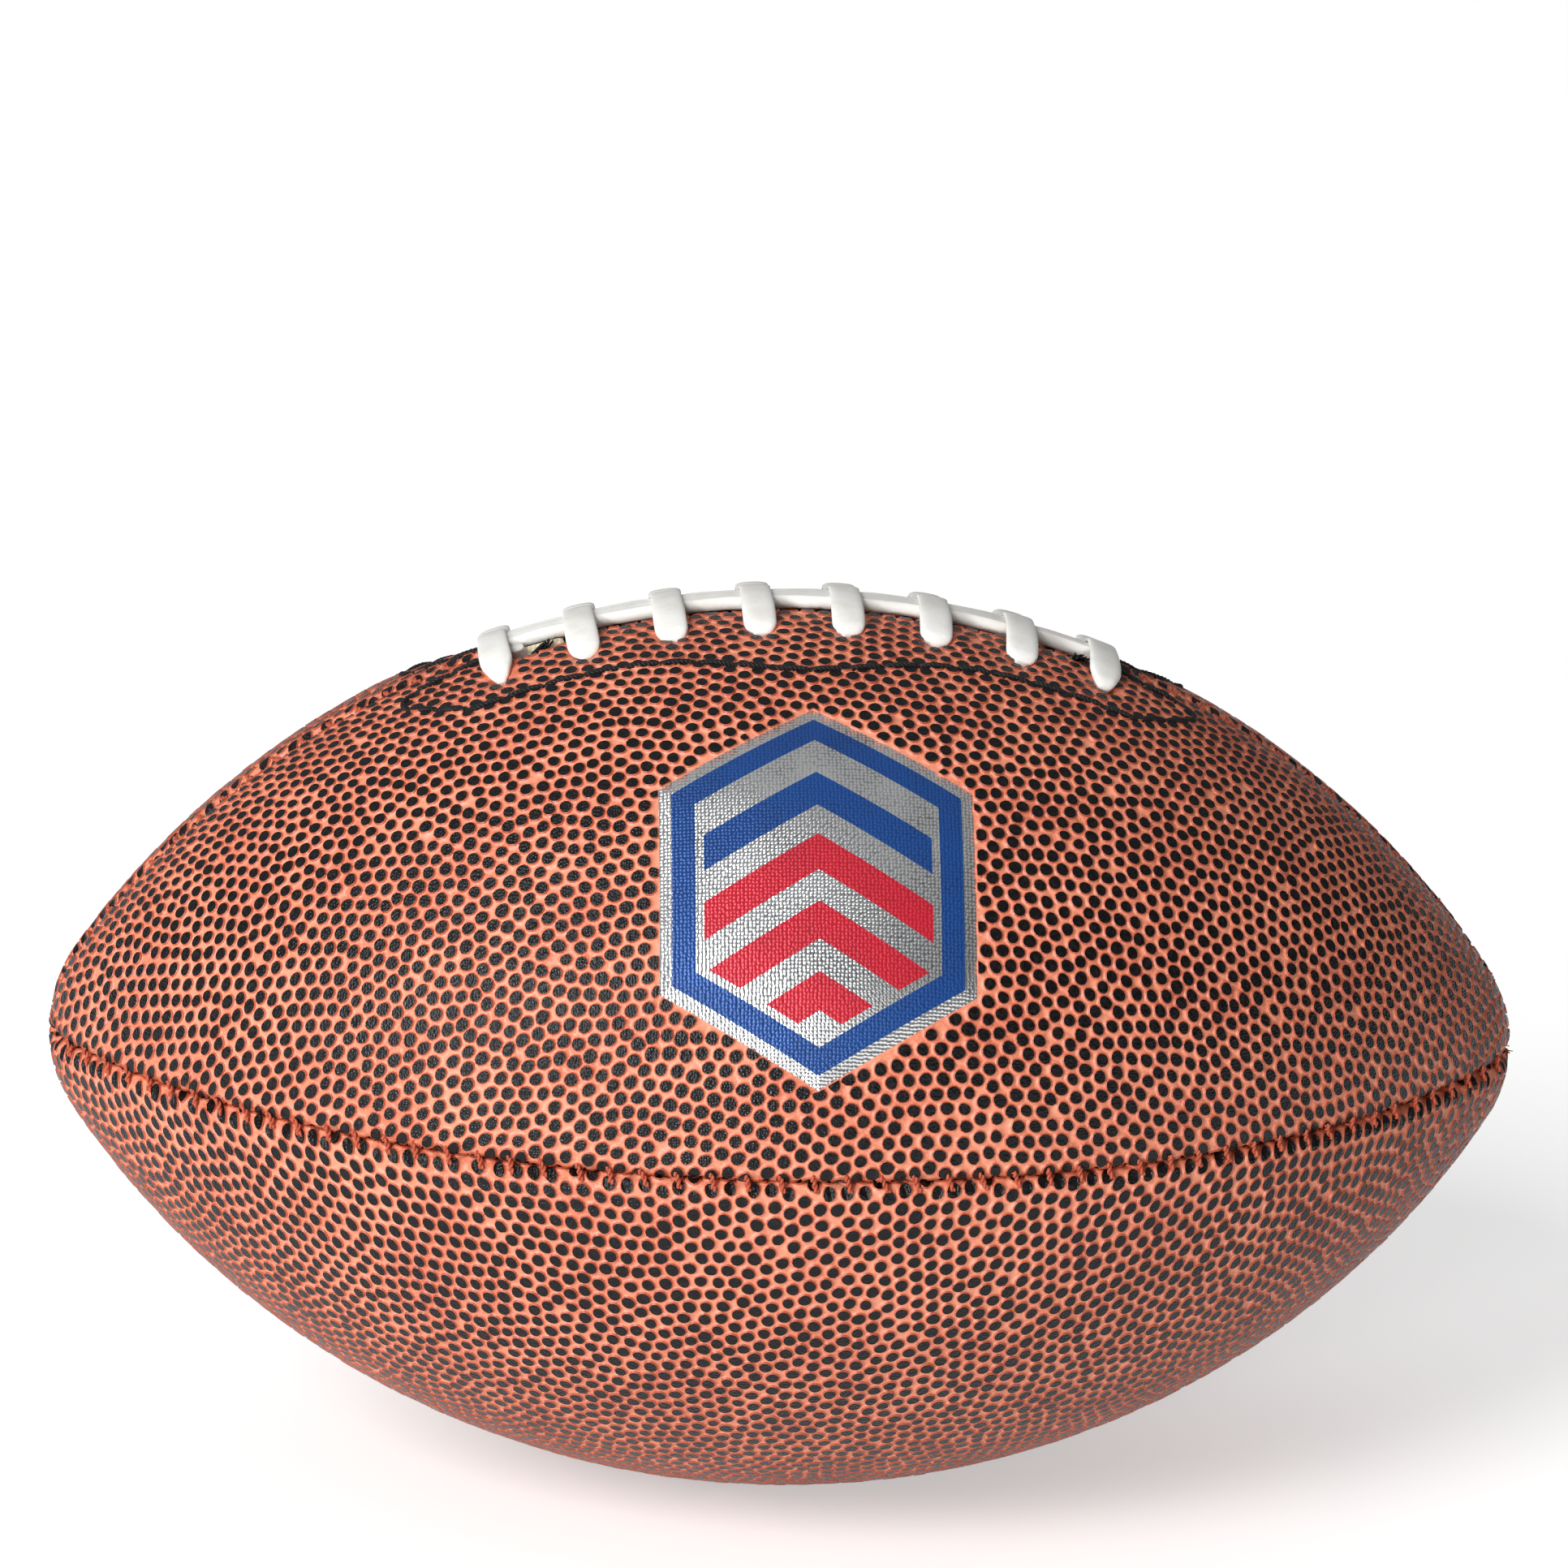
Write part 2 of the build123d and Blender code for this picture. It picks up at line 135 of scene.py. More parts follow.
def ease(share: Array) -> Array:
    """Smooth step of a share, held between zero and one."""
    held = np.clip(share, 0, 1)
    return held * held * (3 - 2 * held)


def add_node(tree: Tree, kind: str, inputs: dict, output: int | str = 0, **settings: object) -> Socket:
    """Add one node with its settings, values and links.

    Args:
        tree: Node tree that gets the node.
        kind: Blender's name for the kind of node, without its common first part.
        inputs: Values, or sockets to link from, by the input's name or number.
        output: Name or number of the output that is wanted.
        settings: Attributes of the node.

    Returns:
        The output socket, or nothing where the node has none.
    """
    node = tree.nodes.new(f"ShaderNode{kind}")
    for name, value in settings.items():
        setattr(node, name, value)
    for key, value in inputs.items():
        if isinstance(value, Socket):
            tree.links.new(value, node.inputs[key])
        else:
            node.inputs[key].default_value = value
    return node.outputs[output] if node.outputs else None


def new_material(name: str) -> tuple[Material, Tree, Socket]:
    """Start an empty node material.

    Args:
        name: What the real material is.

    Returns:
        The material, its tree, and the surface's position in metres as a socket.
    """
    material = bpy.data.materials.new(name)
    material.use_nodes = True
    tree = material.node_tree
    tree.nodes.clear()
    return material, tree, add_node(tree, "TexCoord", {}, "Object")


@dataclass(frozen=True)
class Finish:
    """A surface whose patterns mix two tones, vary the gloss and raise a fine relief.

    The colour shows where the tone pattern is low, the shade where it is high. A span holds the two values
    of a pattern, or of the roughness, between which it runs. The relief's depth is in millimetres.
    """

    name: str
    colour: str
    shade: str
    tone_span: Span = (0.45, 0.75)
    gloss_span: Span = (0.3, 0.7)
    roughness: Span = (0.5, 0.68)
    relief: float = 0.05
    relief_strength: float = 0.5
    sunken: bool = False
    ior: float = 1.5

    def patterns(self, tree: Tree, place: Socket) -> tuple[Socket, Socket | None, Socket]:
        """Make the patterns.

        Args:
            tree: Node tree of the material.
            place: The surface's position in metres.

        Returns:
            Patterns of the tone, the gloss and the relief; no gloss pattern where it is even.
        """
        raise NotImplementedError

    def coat(self) -> dict:
        """Further values of the shader."""
        return {}

    def material(self) -> Material:
        """Make the material.

        Returns:
            The material.
        """
        material, tree, place = new_material(self.name)
        tone, gloss, relief = self.patterns(tree, place)
        share = add_node(tree, "MapRange", {0: tone, 1: self.tone_span[0], 2: self.tone_span[1]})
        colour = add_node(tree, "Mix", {0: share, 6: linear(self.colour), 7: linear(self.shade)}, 2,
                          data_type="RGBA")
        rough = self.roughness[0]
        if gloss is not None:
            rough = add_node(tree, "MapRange", {0: gloss, 1: self.gloss_span[0], 2: self.gloss_span[1],
                                                3: self.roughness[0], 4: self.roughness[1]})
        bump = add_node(tree, "Bump", {"Height": relief, "Distance": self.relief * MM,
                                       "Strength": self.relief_strength}, invert=self.sunken)
        shader = add_node(tree, "BsdfPrincipled", {"Base Color": colour, "Roughness": rough, "IOR": self.ior,
                                                   "Normal": bump, **self.coat()})
        add_node(tree, "OutputMaterial", {"Surface": shader})
        return material


@dataclass(frozen=True)
class PebbledHide(Finish):
    """Embossed polyurethane-coated hide, the salmon ground between the pebbles.

    The coating is satin with fine pores, so walls that face the light go pale and valleys stay deep.
    """

    name: str = "pu_coated_hide"
    colour: str = "#EB9676"
    shade: str = "#D67252"
    tone_span: Span = (0.18, 0.4)
    roughness: Span = (0.36, 0.52)
    relief: float = 0.04
    relief_strength: float = 0.6
    ior: float = 1.6
    blotch: float = 9.0
    pore: float = 0.24

    def patterns(self, tree: Tree, place: Socket) -> tuple[Socket, Socket | None, Socket]:
        """Clouds of tone, broken up by the pores.

        Args:
            tree: Node tree of the material.
            place: The surface's position in metres.

        Returns:
            Patterns of the tone, the gloss and the relief.
        """
        cloud = add_node(tree, "TexNoise", {"Vector": place, "Scale": per_mm(self.blotch), "Detail": 3.0})
        pores = add_node(tree, "TexNoise", {"Vector": place, "Scale": per_mm(self.pore), "Detail": 3.0})
        return add_node(tree, "Math", {0: cloud, 1: pores}, operation="MULTIPLY"), pores, pores


@dataclass(frozen=True)
class PebbleInk(Finish):
    """Black pigment rolled on the pebble tops; the press cloth's weave leaves grey specks in the sheen."""

    name: str = "black_top_ink"
    colour: str = "#0C0808"
    shade: str = "#1F1718"
    gloss_span: Span = (0.35, 0.65)
    roughness: Span = (0.21, 0.39)
    relief: float = 0.09
    relief_strength: float = 0.9
    ior: float = 1.33
    weave: float = 0.3
    speck: float = 0.48

    def patterns(self, tree: Tree, place: Socket) -> tuple[Socket, Socket | None, Socket]:
        """Specks over the dimples of the weave.

        Args:
            tree: Node tree of the material.
            place: The surface's position in metres.

        Returns:
            Patterns of the tone, the gloss and the relief.
        """
        weave = add_node(tree, "TexVoronoi", {"Vector": place, "Scale": per_mm(self.weave),
                                              "Randomness": 0.7})
        specks = add_node(tree, "TexNoise", {"Vector": place, "Scale": per_mm(self.speck), "Detail": 3.0})
        return specks, specks, weave


@dataclass(frozen=True)
class PressedFoil(Finish):
    """Foil or ink hot-pressed flat into the hide through a woven cloth.

    The cloth leaves a bright-and-dark dimple for each thread crossing: sparkling on metal, satin on ink.
    """

    tone_span: Span = (0.14, 0.46)
    relief: float = 0.12
    relief_strength: float = 1.0
    sunken: bool = True
    metallic: float = 1.0
    weave: float = 0.42
    # Size in millimetres of the darker patches, painted in as reflections of dark surroundings.
    rub: float = 5.0

    def patterns(self, tree: Tree, place: Socket) -> tuple[Socket, Socket | None, Socket]:
        """A weave laid along the flat panel, with darker patches of painted reflection.

        Args:
            tree: Node tree of the material.
            place: The surface's position in metres.

        Returns:
            Patterns of the tone, the gloss and the relief.
        """
        flat = add_node(tree, "Attribute", {}, "Vector", attribute_name="plaque")
        weave = add_node(tree, "TexVoronoi", {"Vector": flat, "Scale": 1 / self.weave, "Randomness": 0.35},
                         voronoi_dimensions="2D")
        # Painted reflection: broad darker patches, which also vary the gloss.
        rub = add_node(tree, "TexNoise", {"Vector": place, "Scale": per_mm(self.rub), "Detail": 4.0})
        return add_node(tree, "Math", {0: weave, 1: rub}, operation="MULTIPLY"), rub, weave

    def coat(self) -> dict:
        """How metallic the surface is."""
        return {"Metallic": self.metallic}


@dataclass(frozen=True)
class LaceVinyl(Finish):
    """Soft white PVC tape: satin, slightly see-through at the edges, with fine stretch lines across it."""

    name: str = "soft_pvc"
    colour: str = "#F5F4F0"
    shade: str = "#EBE8E0"
    tone_span: Span = (0.42, 0.72)
    roughness: Span = (0.32, 0.48)
    relief: float = 0.07
    ior: float = 1.52
    cloud: float = 3.0
    wrinkle: float = 0.35
    glow_depth: float = 0.7

    def patterns(self, tree: Tree, place: Socket) -> tuple[Socket, Socket | None, Socket]:
        """Clouds of tone over fine wrinkles.

        Args:
            tree: Node tree of the material.
            place: The surface's position in metres.

        Returns:
            Patterns of the tone, the gloss and the relief.
        """
        cloud = add_node(tree, "TexNoise", {"Vector": place, "Scale": per_mm(self.cloud), "Detail": 3.0})
        fine = add_node(tree, "TexNoise", {"Vector": place, "Scale": per_mm(self.wrinkle), "Detail": 3.0})
        return cloud, fine, fine

    def coat(self) -> dict:
        """Light that soaks in and comes out again."""
        return {"Subsurface Weight": 0.2, "Subsurface Radius": (1.0, 0.9, 0.8),
                "Subsurface Scale": self.glow_depth * MM}


@dataclass(frozen=True)
class SewingThread(Finish):
    """Bonded polyester thread: satin fibres, dull between the plies, where its deeper first colour lies."""

    tone_span: Span = (0.35, 0.65)
    roughness: Span = (0.42, 0.6)
    relief_strength: float = 0.7
    ior: float = 1.36
    fibre: float = 0.12

    def patterns(self, tree: Tree, place: Socket) -> tuple[Socket, Socket | None, Socket]:
        """One pattern of fibres for everything."""
        fibre = add_node(tree, "TexNoise", {"Vector": place, "Scale": per_mm(self.fibre), "Detail": 2.0})
        return fibre, fibre, fibre

    def coat(self) -> dict:
        """The fibres' sheen."""
        return {"Sheen Weight": 0.04}


@dataclass(frozen=True)
class Canvas(Finish):
    """Plain-woven cotton backing: matt, with a thread every half millimetre and slubs in the yarn."""

    tone_span: Span = (0.5, 1.1)
    roughness: Span = (0.85, 0.85)
    relief: float = 0.1
    relief_strength: float = 0.8
    sunken: bool = True
    thread: float = 0.5
    slub: float = 1.5

    def patterns(self, tree: Tree, place: Socket) -> tuple[Socket, Socket | None, Socket]:
        """A weave with slubs, evenly matt.

        Args:
            tree: Node tree of the material.
            place: The surface's position in metres.

        Returns:
            Patterns of the tone and the relief, and none of the gloss.
        """
        weave = add_node(tree, "TexVoronoi", {"Vector": place, "Scale": per_mm(self.thread),
                                              "Randomness": 0.2})
        slub = add_node(tree, "TexNoise", {"Vector": place, "Scale": per_mm(self.slub), "Detail": 3.0})
        mixed = add_node(tree, "Math", {0: weave, 1: slub}, operation="ADD")
        return mixed, None, mixed

    def coat(self) -> dict:
        """The cotton's fuzz."""
        return {"Sheen Weight": 0.2}


@dataclass(frozen=True)
class MouldedRubber(Finish):
    """Black butyl rubber from a blasted mould: dark grey, fine matt skin with dusty clouds."""

    name: str = "butyl_rubber"
    colour: str = "#2B2A2A"
    shade: str = "#413E3B"
    relief: float = 0.03
    ior: float = 1.52
    cloud: float = 2.5
    grit: float = 0.15

    def patterns(self, tree: Tree, place: Socket) -> tuple[Socket, Socket | None, Socket]:
        """Clouds of dust over the grit of the mould.

        Args:
            tree: Node tree of the material.
            place: The surface's position in metres.

        Returns:
            Patterns of the tone, the gloss and the relief.
        """
        cloud = add_node(tree, "TexNoise", {"Vector": place, "Scale": per_mm(self.cloud), "Detail": 3.0})
        grit = add_node(tree, "TexNoise", {"Vector": place, "Scale": per_mm(self.grit), "Detail": 2.0})
        return cloud, grit, grit


@dataclass(frozen=True)
class StudioPaper:
    """Matt white background paper; it glows a little to the eye and is white where no shadow falls."""

    name: str = "background_paper"
    colour: str = "#FBFBFB"
    glow: float = 0.425

    def material(self) -> Material:
        """Make the material.

        Returns:
            The material.
        """
        material, tree, _ = new_material(self.name)
        camera = add_node(tree, "LightPath", {}, "Is Camera Ray")
        path = camera.node.outputs
        mirrored = add_node(tree, "Math", {0: path["Is Glossy Ray"], 1: path["Is Transmission Ray"]},
                            operation="MAXIMUM")
        seen = add_node(tree, "Math", {0: camera, 1: mirrored}, operation="MAXIMUM")
        strength = add_node(tree, "MapRange", {0: seen, 3: 0.0, 4: self.glow})
        shader = add_node(tree, "BsdfPrincipled", {
            "Base Color": linear(self.colour), "Roughness": 0.9, "Specular IOR Level": 0.1,
            "Emission Color": linear(WHITE), "Emission Strength": strength})
        add_node(tree, "OutputMaterial", {"Surface": shader})
        return material


def mesh_object(name: str, points: Array, faces: list, materials: list[Material],
                slots: Array | None = None, flat_slot: int = -1) -> Item:
    """Make a smooth-shaded object from points in millimetres.

    Args:
        name: Name of the object.
        points: Corner places, one row each.
        faces: Lists of corner numbers.
        materials: Materials of the object's slots.
        slots: Slot of each face, or nothing where there is one material.
        flat_slot: Slot whose faces are shaded flat.

    Returns:
        The object, in the scene.
    """
    mesh = bpy.data.meshes.new(name)
    mesh.from_pydata((np.asarray(points) * MM).tolist(), [], faces)
    for material in materials:
        mesh.materials.append(material)
    chosen = np.zeros(len(faces), np.int32) if slots is None else np.asarray(slots, np.int32)
    mesh.polygons.foreach_set("material_index", chosen)
    mesh.polygons.foreach_set("use_smooth", chosen != flat_slot)
    mesh.update()
    item = bpy.data.objects.new(name, mesh)
    bpy.context.scene.collection.objects.link(item)
    return item


def skin_rings(rings: Array, start: int = 0) -> list:
    """Faces of a closed tube.

    Args:
        rings: Points by ring and place round it.
        start: Number of the first point.

    Returns:
        Side faces and two end caps.
    """
    count, around = rings.shape[:2]
    numbers = np.arange(count * around).reshape(count, around) + start
    ahead = np.roll(numbers, -1, axis=1)
    sides = np.stack([numbers[:-1], ahead[:-1], ahead[1:], numbers[1:]], -1).reshape(-1, 4).tolist()
    return sides + [numbers[0, ::-1].tolist(), numbers[-1].tolist()]


def ring_object(name: str, rings: list | Array, material: Material) -> Item:
    """Make a closed tube or sheet from rings of points."""
    rings = np.array(rings)
    return mesh_object(name, rings.reshape(-1, 3), skin_rings(rings), [material])


def settle(item: Item, slot: str, *nodes: str) -> None:
    """Let a piece ride on the ball and stand for its CAD nodes.

    Args:
        item: The piece.
        slot: The piece's material slot; not used.
        nodes: CAD nodes that the piece stands for.
    """
    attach(item, BODY)
    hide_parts(*nodes)
    log.info("%s: %d faces, stands for %s", item.name, len(item.data.polygons), ", ".join(nodes))


def unit(rows: Array) -> Array:
    """Rows scaled to length one."""
    return rows / np.maximum(np.linalg.norm(rows, axis=-1, keepdims=True), 1e-12)


def run_along(path: Array) -> Array:
    """Distance along a path at each of its points."""
    return np.concatenate([[0], np.cumsum(np.linalg.norm(np.diff(path, axis=0), axis=1))])


def arc(centre: Span, radius: float, angles: Array) -> Array:
    """Points on an arc in a plane, at angles from its first axis."""
    return np.array(centre) + radius * np.stack([np.cos(angles), np.sin(angles)], 1)


def signed_turn(corners: Array) -> Array:
    """Twice the signed area of flat triangles, given by their three corners."""
    along, across = corners[:, 1] - corners[:, 0], corners[:, 2] - corners[:, 0]
    return along[:, 0] * across[:, 1] - along[:, 1] * across[:, 0]


@dataclass(frozen=True)
class BallForm:
    """Outline of the ball: a belly arc with a smaller nose arc at each end, turned about X."""

    length: float = 170.0
    diameter: float = 104.0
    nose_radius: float = 15.7

    @property
    def axis(self) -> float:
        """Height of the long axis above the floor."""
        return self.diameter / 2

    @property
    def nose_centre(self) -> float:
        """Distance of a nose arc's centre from the middle."""
        return self.length / 2 - self.nose_radius

    @property
    def belly_radius(self) -> float:
        """Radius of the arc along the belly, tangent to both noses."""
        rise = self.axis ** 2 - self.nose_radius ** 2
        return (self.nose_centre ** 2 + rise) / (2 * (self.axis - self.nose_radius))

    @property
    def arc_drop(self) -> float:
        """Distance of the belly arc's centre below the axis."""
        return self.belly_radius - self.axis

    @property
    def nose_angle(self) -> float:
        """Lean of the skin where belly and nose meet."""
        return math.atan2(self.nose_centre, self.arc_drop)

    def end_station(self, radius: float) -> float:
        """Station near the tip at which the ball has a small radius."""
        lean = math.acos(radius / self.nose_radius)
        return self.belly_radius * self.nose_angle + self.nose_radius * (lean - self.nose_angle)

    def meridian(self, station: Array) -> tuple[Array, Array, Array]:
        """Follow the outline from mid length.

        Args:
            station: Distances along the outline, in millimetres.

        Returns:
            Place along X, radius about the axis, and the lean of the skin towards the tip.
        """
        reach = np.abs(station)
        sign = np.where(station < 0, -1.0, 1.0)
        turn = self.belly_radius * self.nose_angle
        on_belly = reach < turn
        lean = np.where(on_belly, reach / self.belly_radius,
                        self.nose_angle + (reach - turn) / self.nose_radius)
        x = np.where(on_belly, self.belly_radius * np.sin(lean),
                     self.nose_centre + self.nose_radius * np.sin(lean))
        radius = np.where(on_belly, self.belly_radius * np.cos(lean) - self.arc_drop,
                          self.nose_radius * np.cos(lean))
        return sign * x, radius, sign * lean

    def station_at(self, x: Array) -> Array:
        """Station on the belly arc over a place along X."""
        return self.belly_radius * np.arcsin(x / self.belly_radius)


@dataclass(frozen=True)
class LacingPlan:
    """Places that the cover, the lace and the stitching share."""

    ball: BallForm
    count: int = 8
    pitch: float = 10.1
    leg_offset: float = 8.9
    tape_width: float = 4.0
    tape_thickness: float = 1.15
    slit_side_gap: float = 0.35
    bend: float = 1.35
    shoulder: float = 1.5
    crown_radius: float = 19.6
    strand_lift: float = 0.15
    self_gap: float = 0.06
    inside_depth: float = 5.22
    tongue_depth: float = 6.65
    dent_depth: float = 1.4
    dent_offset: float = 15.0
    dent_reach: float = 9.0
    dent_fade: float = 14.0
    pull_stations: tuple[float, ...] = (0.4, 2.4, 8.0, 10.2)
    pull_shares: tuple[float, ...] = (0, 1, 0.6, 0)

    @property
    def stations(self) -> Array:
        """Stations of the cross bars along the slit."""
        return (np.arange(self.count) - (self.count - 1) / 2) * self.pitch

    @property
    def slit_end(self) -> float:
        """Station at which the slit ends."""
        return float(self.stations[-1]) + self.tape_thickness / 2 + self.slit_side_gap

    @property
    def slit_half(self) -> float:
        """Half width of the slit."""
        return self.tape_width / 2 + self.slit_side_gap

    @property
    def strand_level(self) -> float:
        """Height of the lengthwise strand's middle over the skin."""
        return self.strand_lift + self.tape_thickness / 2

    def dent(self, along: Array, y: Array) -> Array:
        """How far the drawn-in cover lies under the round form behind the slit.

        Args:
            along: Stations along the slit.
            y: Signed distances from it.

        Returns:
            Depths in millimetres.
        """
        near = np.exp(-((y - self.dent_offset) / self.dent_reach) ** 2)
        fade = ease((self.slit_end + self.dent_fade - np.abs(along)) / self.dent_fade)
        return self.dent_depth * near * fade

    def pulled_share(self, station: Array) -> Array:
        """Share by which the front lip is pulled open beside the first cross bar."""
        beside = np.array(self.pull_stations) + float(self.stations[0])
        return ease(np.interp(station, beside, self.pull_shares))

    def form_level(self, y: Array) -> Array:
        """Height of the round form at a distance from the slit, from the top of the ball."""
        return np.sqrt(self.ball.axis ** 2 - y ** 2) - self.ball.axis

    def skin_level(self, y: Array) -> Array:
        """Height of the drawn-in skin at a distance from the slit, from the top of the ball."""
        return self.form_level(y) - self.dent(np.zeros_like(y), y)

    def place(self, along: Array, y: Array, level: Array) -> Array:
        """Carry places in the lacing to the ball.

        Args:
            along: Stations along the slit.
            y: Distances from the slit.
            level: Heights over the top of the ball at that station.

        Returns:
            Points in millimetres, one row each.
        """
        radius = self.ball.belly_radius + level
        angle = along / self.ball.belly_radius
        height = self.ball.axis - self.ball.arc_drop
        rows = [radius * np.sin(angle), y + np.zeros_like(angle), height + radius * np.cos(angle)]
        return np.stack(rows, -1)


@dataclass(frozen=True)
class Plaque:
    """Six-sided emblem on the flat panel: a bright rim, a band, and folded stripes on a bright field."""

    half_width: float = 17.5
    half_height: float = 23.0
    corner_height: float = 12.0
    rim: float = 1.4
    band: float = 2.6
    line: float = 0.9
    stripe_starts: tuple[float, ...] = (9.5, 1.6, -6.3, -14.2)
    stripe_width: float = 4.3
    fill_step: float = 1.6
    fill_margin_share: float = 0.6

    @property
    def rise(self) -> float:
        """Height of the slanted edges."""
        return self.half_height - self.corner_height

    @property
    def slope(self) -> float:
        """Slope of the slanted edges."""
        return self.rise / self.half_width

    @property
    def field_inset(self) -> float:
        """Distance of the striped field from the outline."""
        return self.rim + self.band + self.line

    def level_of(self, inset: float) -> float:
        """Height of an inset outline's peak."""
        return self.half_height - inset * math.hypot(self.rise, self.half_width) / self.half_width

    def inside(self, s: Array, w: Array) -> Array:
        """Distance inside the outline, negative outside, for places about its centre."""
        slanted = self.half_width * (self.half_height - np.abs(w)) - self.rise * np.abs(s)
        return np.minimum(self.half_width - np.abs(s), slanted / math.hypot(self.rise, self.half_width))

    def hexagon(self, inset: float) -> Array:
        """Corners of the outline or of one inset from it, in order.

        Args:
            inset: Distance in from the outline.

        Returns:
            Six places about the centre, one row each.
        """
        side, peak = self.half_width - inset, self.level_of(inset)
        corner = peak - side * self.rise / self.half_width
        left = [(0, peak), (-side, corner), (-side, -corner)]
        right = [(0, -peak), (side, -corner), (side, corner)]
        return np.array(left + right)

    def stripe_line(self, level: float) -> Array:
        """Folded line parallel to the upper edges, ending on the striped field's edge.

        Args:
            level: Height of its fold.

        Returns:
            One end, the fold and the other end, about the centre.
        """
        to_lower_edge = (self.level_of(self.field_inset) + level) / (2 * self.slope)
        reach = min(self.half_width - self.field_inset, to_lower_edge)
        end_level = level - self.slope * reach
        return np.array([(-reach, end_level), (0, level), (reach, end_level)])

    def divided(self, line: Array) -> Array:
        """A line with places along it about as close as those that fill the plaque.

        Args:
            line: Its corners and ends.

        Returns:
            Those and more places between them, one row each.
        """
        pieces = [np.linspace(a, b, 1 + math.ceil(math.dist(a, b) / self.fill_step))[:-1]
                  for a, b in zip(line[:-1], line[1:])]
        return np.concatenate([*pieces, line[-1:]])

    def lines(self, centre: Span) -> list[Array]:
        """Lines at which one ink meets another, round a centre on the flat panel.

        Args:
            centre: Place of the plaque's centre.

        Returns:
            Places along each line.
        """
        found = []
        for inset in (self.rim, self.rim + self.band, self.field_inset):
            corners = self.hexagon(inset) + centre
            found.append(self.divided(np.concatenate([corners, corners[:1]])))
        for start in self.stripe_starts:
            for level in (start, start + self.stripe_width):
                found.append(self.divided(self.stripe_line(level)) + centre)
        return found

    def fill(self) -> Array:
        """Even places over the plaque about its centre, for a smooth pressed surface.

        Returns:
            Places, one row each.
        """
        across = np.arange(-self.half_width, self.half_width, self.fill_step)
        up = np.arange(-self.half_height, self.half_height, self.fill_step)
        grid = np.stack(np.meshgrid(across, up), -1).reshape(-1, 2)
        return grid[self.inside(*grid.T) > self.fill_step * self.fill_margin_share]

    def ink(self, s: Array, w: Array) -> Array:
        """Finish slot at places about the centre.

        Args:
            s: Distances along the panel.
            w: Distances across it.

        Returns:
            A slot for each place.
        """
        edge = self.inside(s, w)
        fold = w + np.abs(s) * self.rise / self.half_width
        slots = np.where((edge > self.rim) & (edge < self.rim + self.band), Skin.BLUE, Skin.SILVER)
        for number, start in enumerate(self.stripe_starts):
            striped = (edge > self.field_inset) & (fold > start) & (fold < start + self.stripe_width)
            slots = np.where(striped, Skin.RED if number else Skin.BLUE, slots)
        return slots


@dataclass(frozen=True)
class PebbleRoll:
    """Pebbles that the embossing roller leaves: their size and outline, and how their rows are shaken."""

    pitch: float = 1.9
    radius: float = 0.71
    height: float = 0.34
    size_spread: float = 0.05
    height_spread: float = 0.08
    oval_share: float = 0.05
    corner_share: float = 0.03
    top_cell_share: float = 0.87
    foot_share: float = 1.16
    foot_cell_share: float = 0.95
    foot_height_share: float = 0.4
    valley_shares: Span = (0.15, 0.85)
    edge_share: float = 0.8
    keep_share: float = 0.6
    plaque_share: float = 0.2
    shake_share: float = 0.42
    reach_share: float = 1.1
    push_share: float = 0.32
    stride_share: float = 0.3
    least_gap: float = 0.05
    rounds: int = 44
    neighbours: int = 90
    sure_neighbours: int = 8

    @property
    def margin(self) -> float:
        """Distance that the pebbles' centres keep from the panel's edges."""
        return self.radius * self.edge_share

    def lattice(self, reach: float, rng: Draws) -> Array:
        """Even rows of places, turned as a whole.

        Args:
            reach: How far the rows go from the middle.
            rng: Seeded source of the turn.

        Returns:
            Places on the flat panel, one row each.
        """
        rows = np.arange(-reach, reach, self.pitch * math.sqrt(3) / 2)
        columns = np.arange(-reach, reach, self.pitch)
        grid = np.array([(column + self.pitch / 2 * (number % 2), row)
                         for number, row in enumerate(rows) for column in columns])
        lean = rng.uniform(0, math.pi / 3)
        return grid @ np.array([[math.cos(lean), math.sin(lean)], [-math.sin(lean), math.cos(lean)]])

    def pushed_apart(self, spots: Array) -> Array:
        """Sort places along the panel and move those that are too close away from each other, once.

        Args:
            spots: Places on the flat panel.

        Returns:
            The moved places, one row each.
        """
        reach = self.pitch * self.reach_share
        stride = self.pitch * self.stride_share
        spots = spots[np.argsort(spots[:, 0])]
        push = np.zeros_like(spots)
        for offset in range(1, self.neighbours):
            gap = spots[offset:] - spots[:-offset]
            if offset > self.sure_neighbours and gap[:, 0].min() > reach:
                break
            apart = np.linalg.norm(gap, axis=1)
            force = np.clip(reach - apart, 0, None) / np.maximum(apart, self.least_gap)
            push[offset:] += gap * force[:, None] * self.push_share
            push[:-offset] -= gap * force[:, None] * self.push_share
        return spots + np.clip(push, -stride, stride)


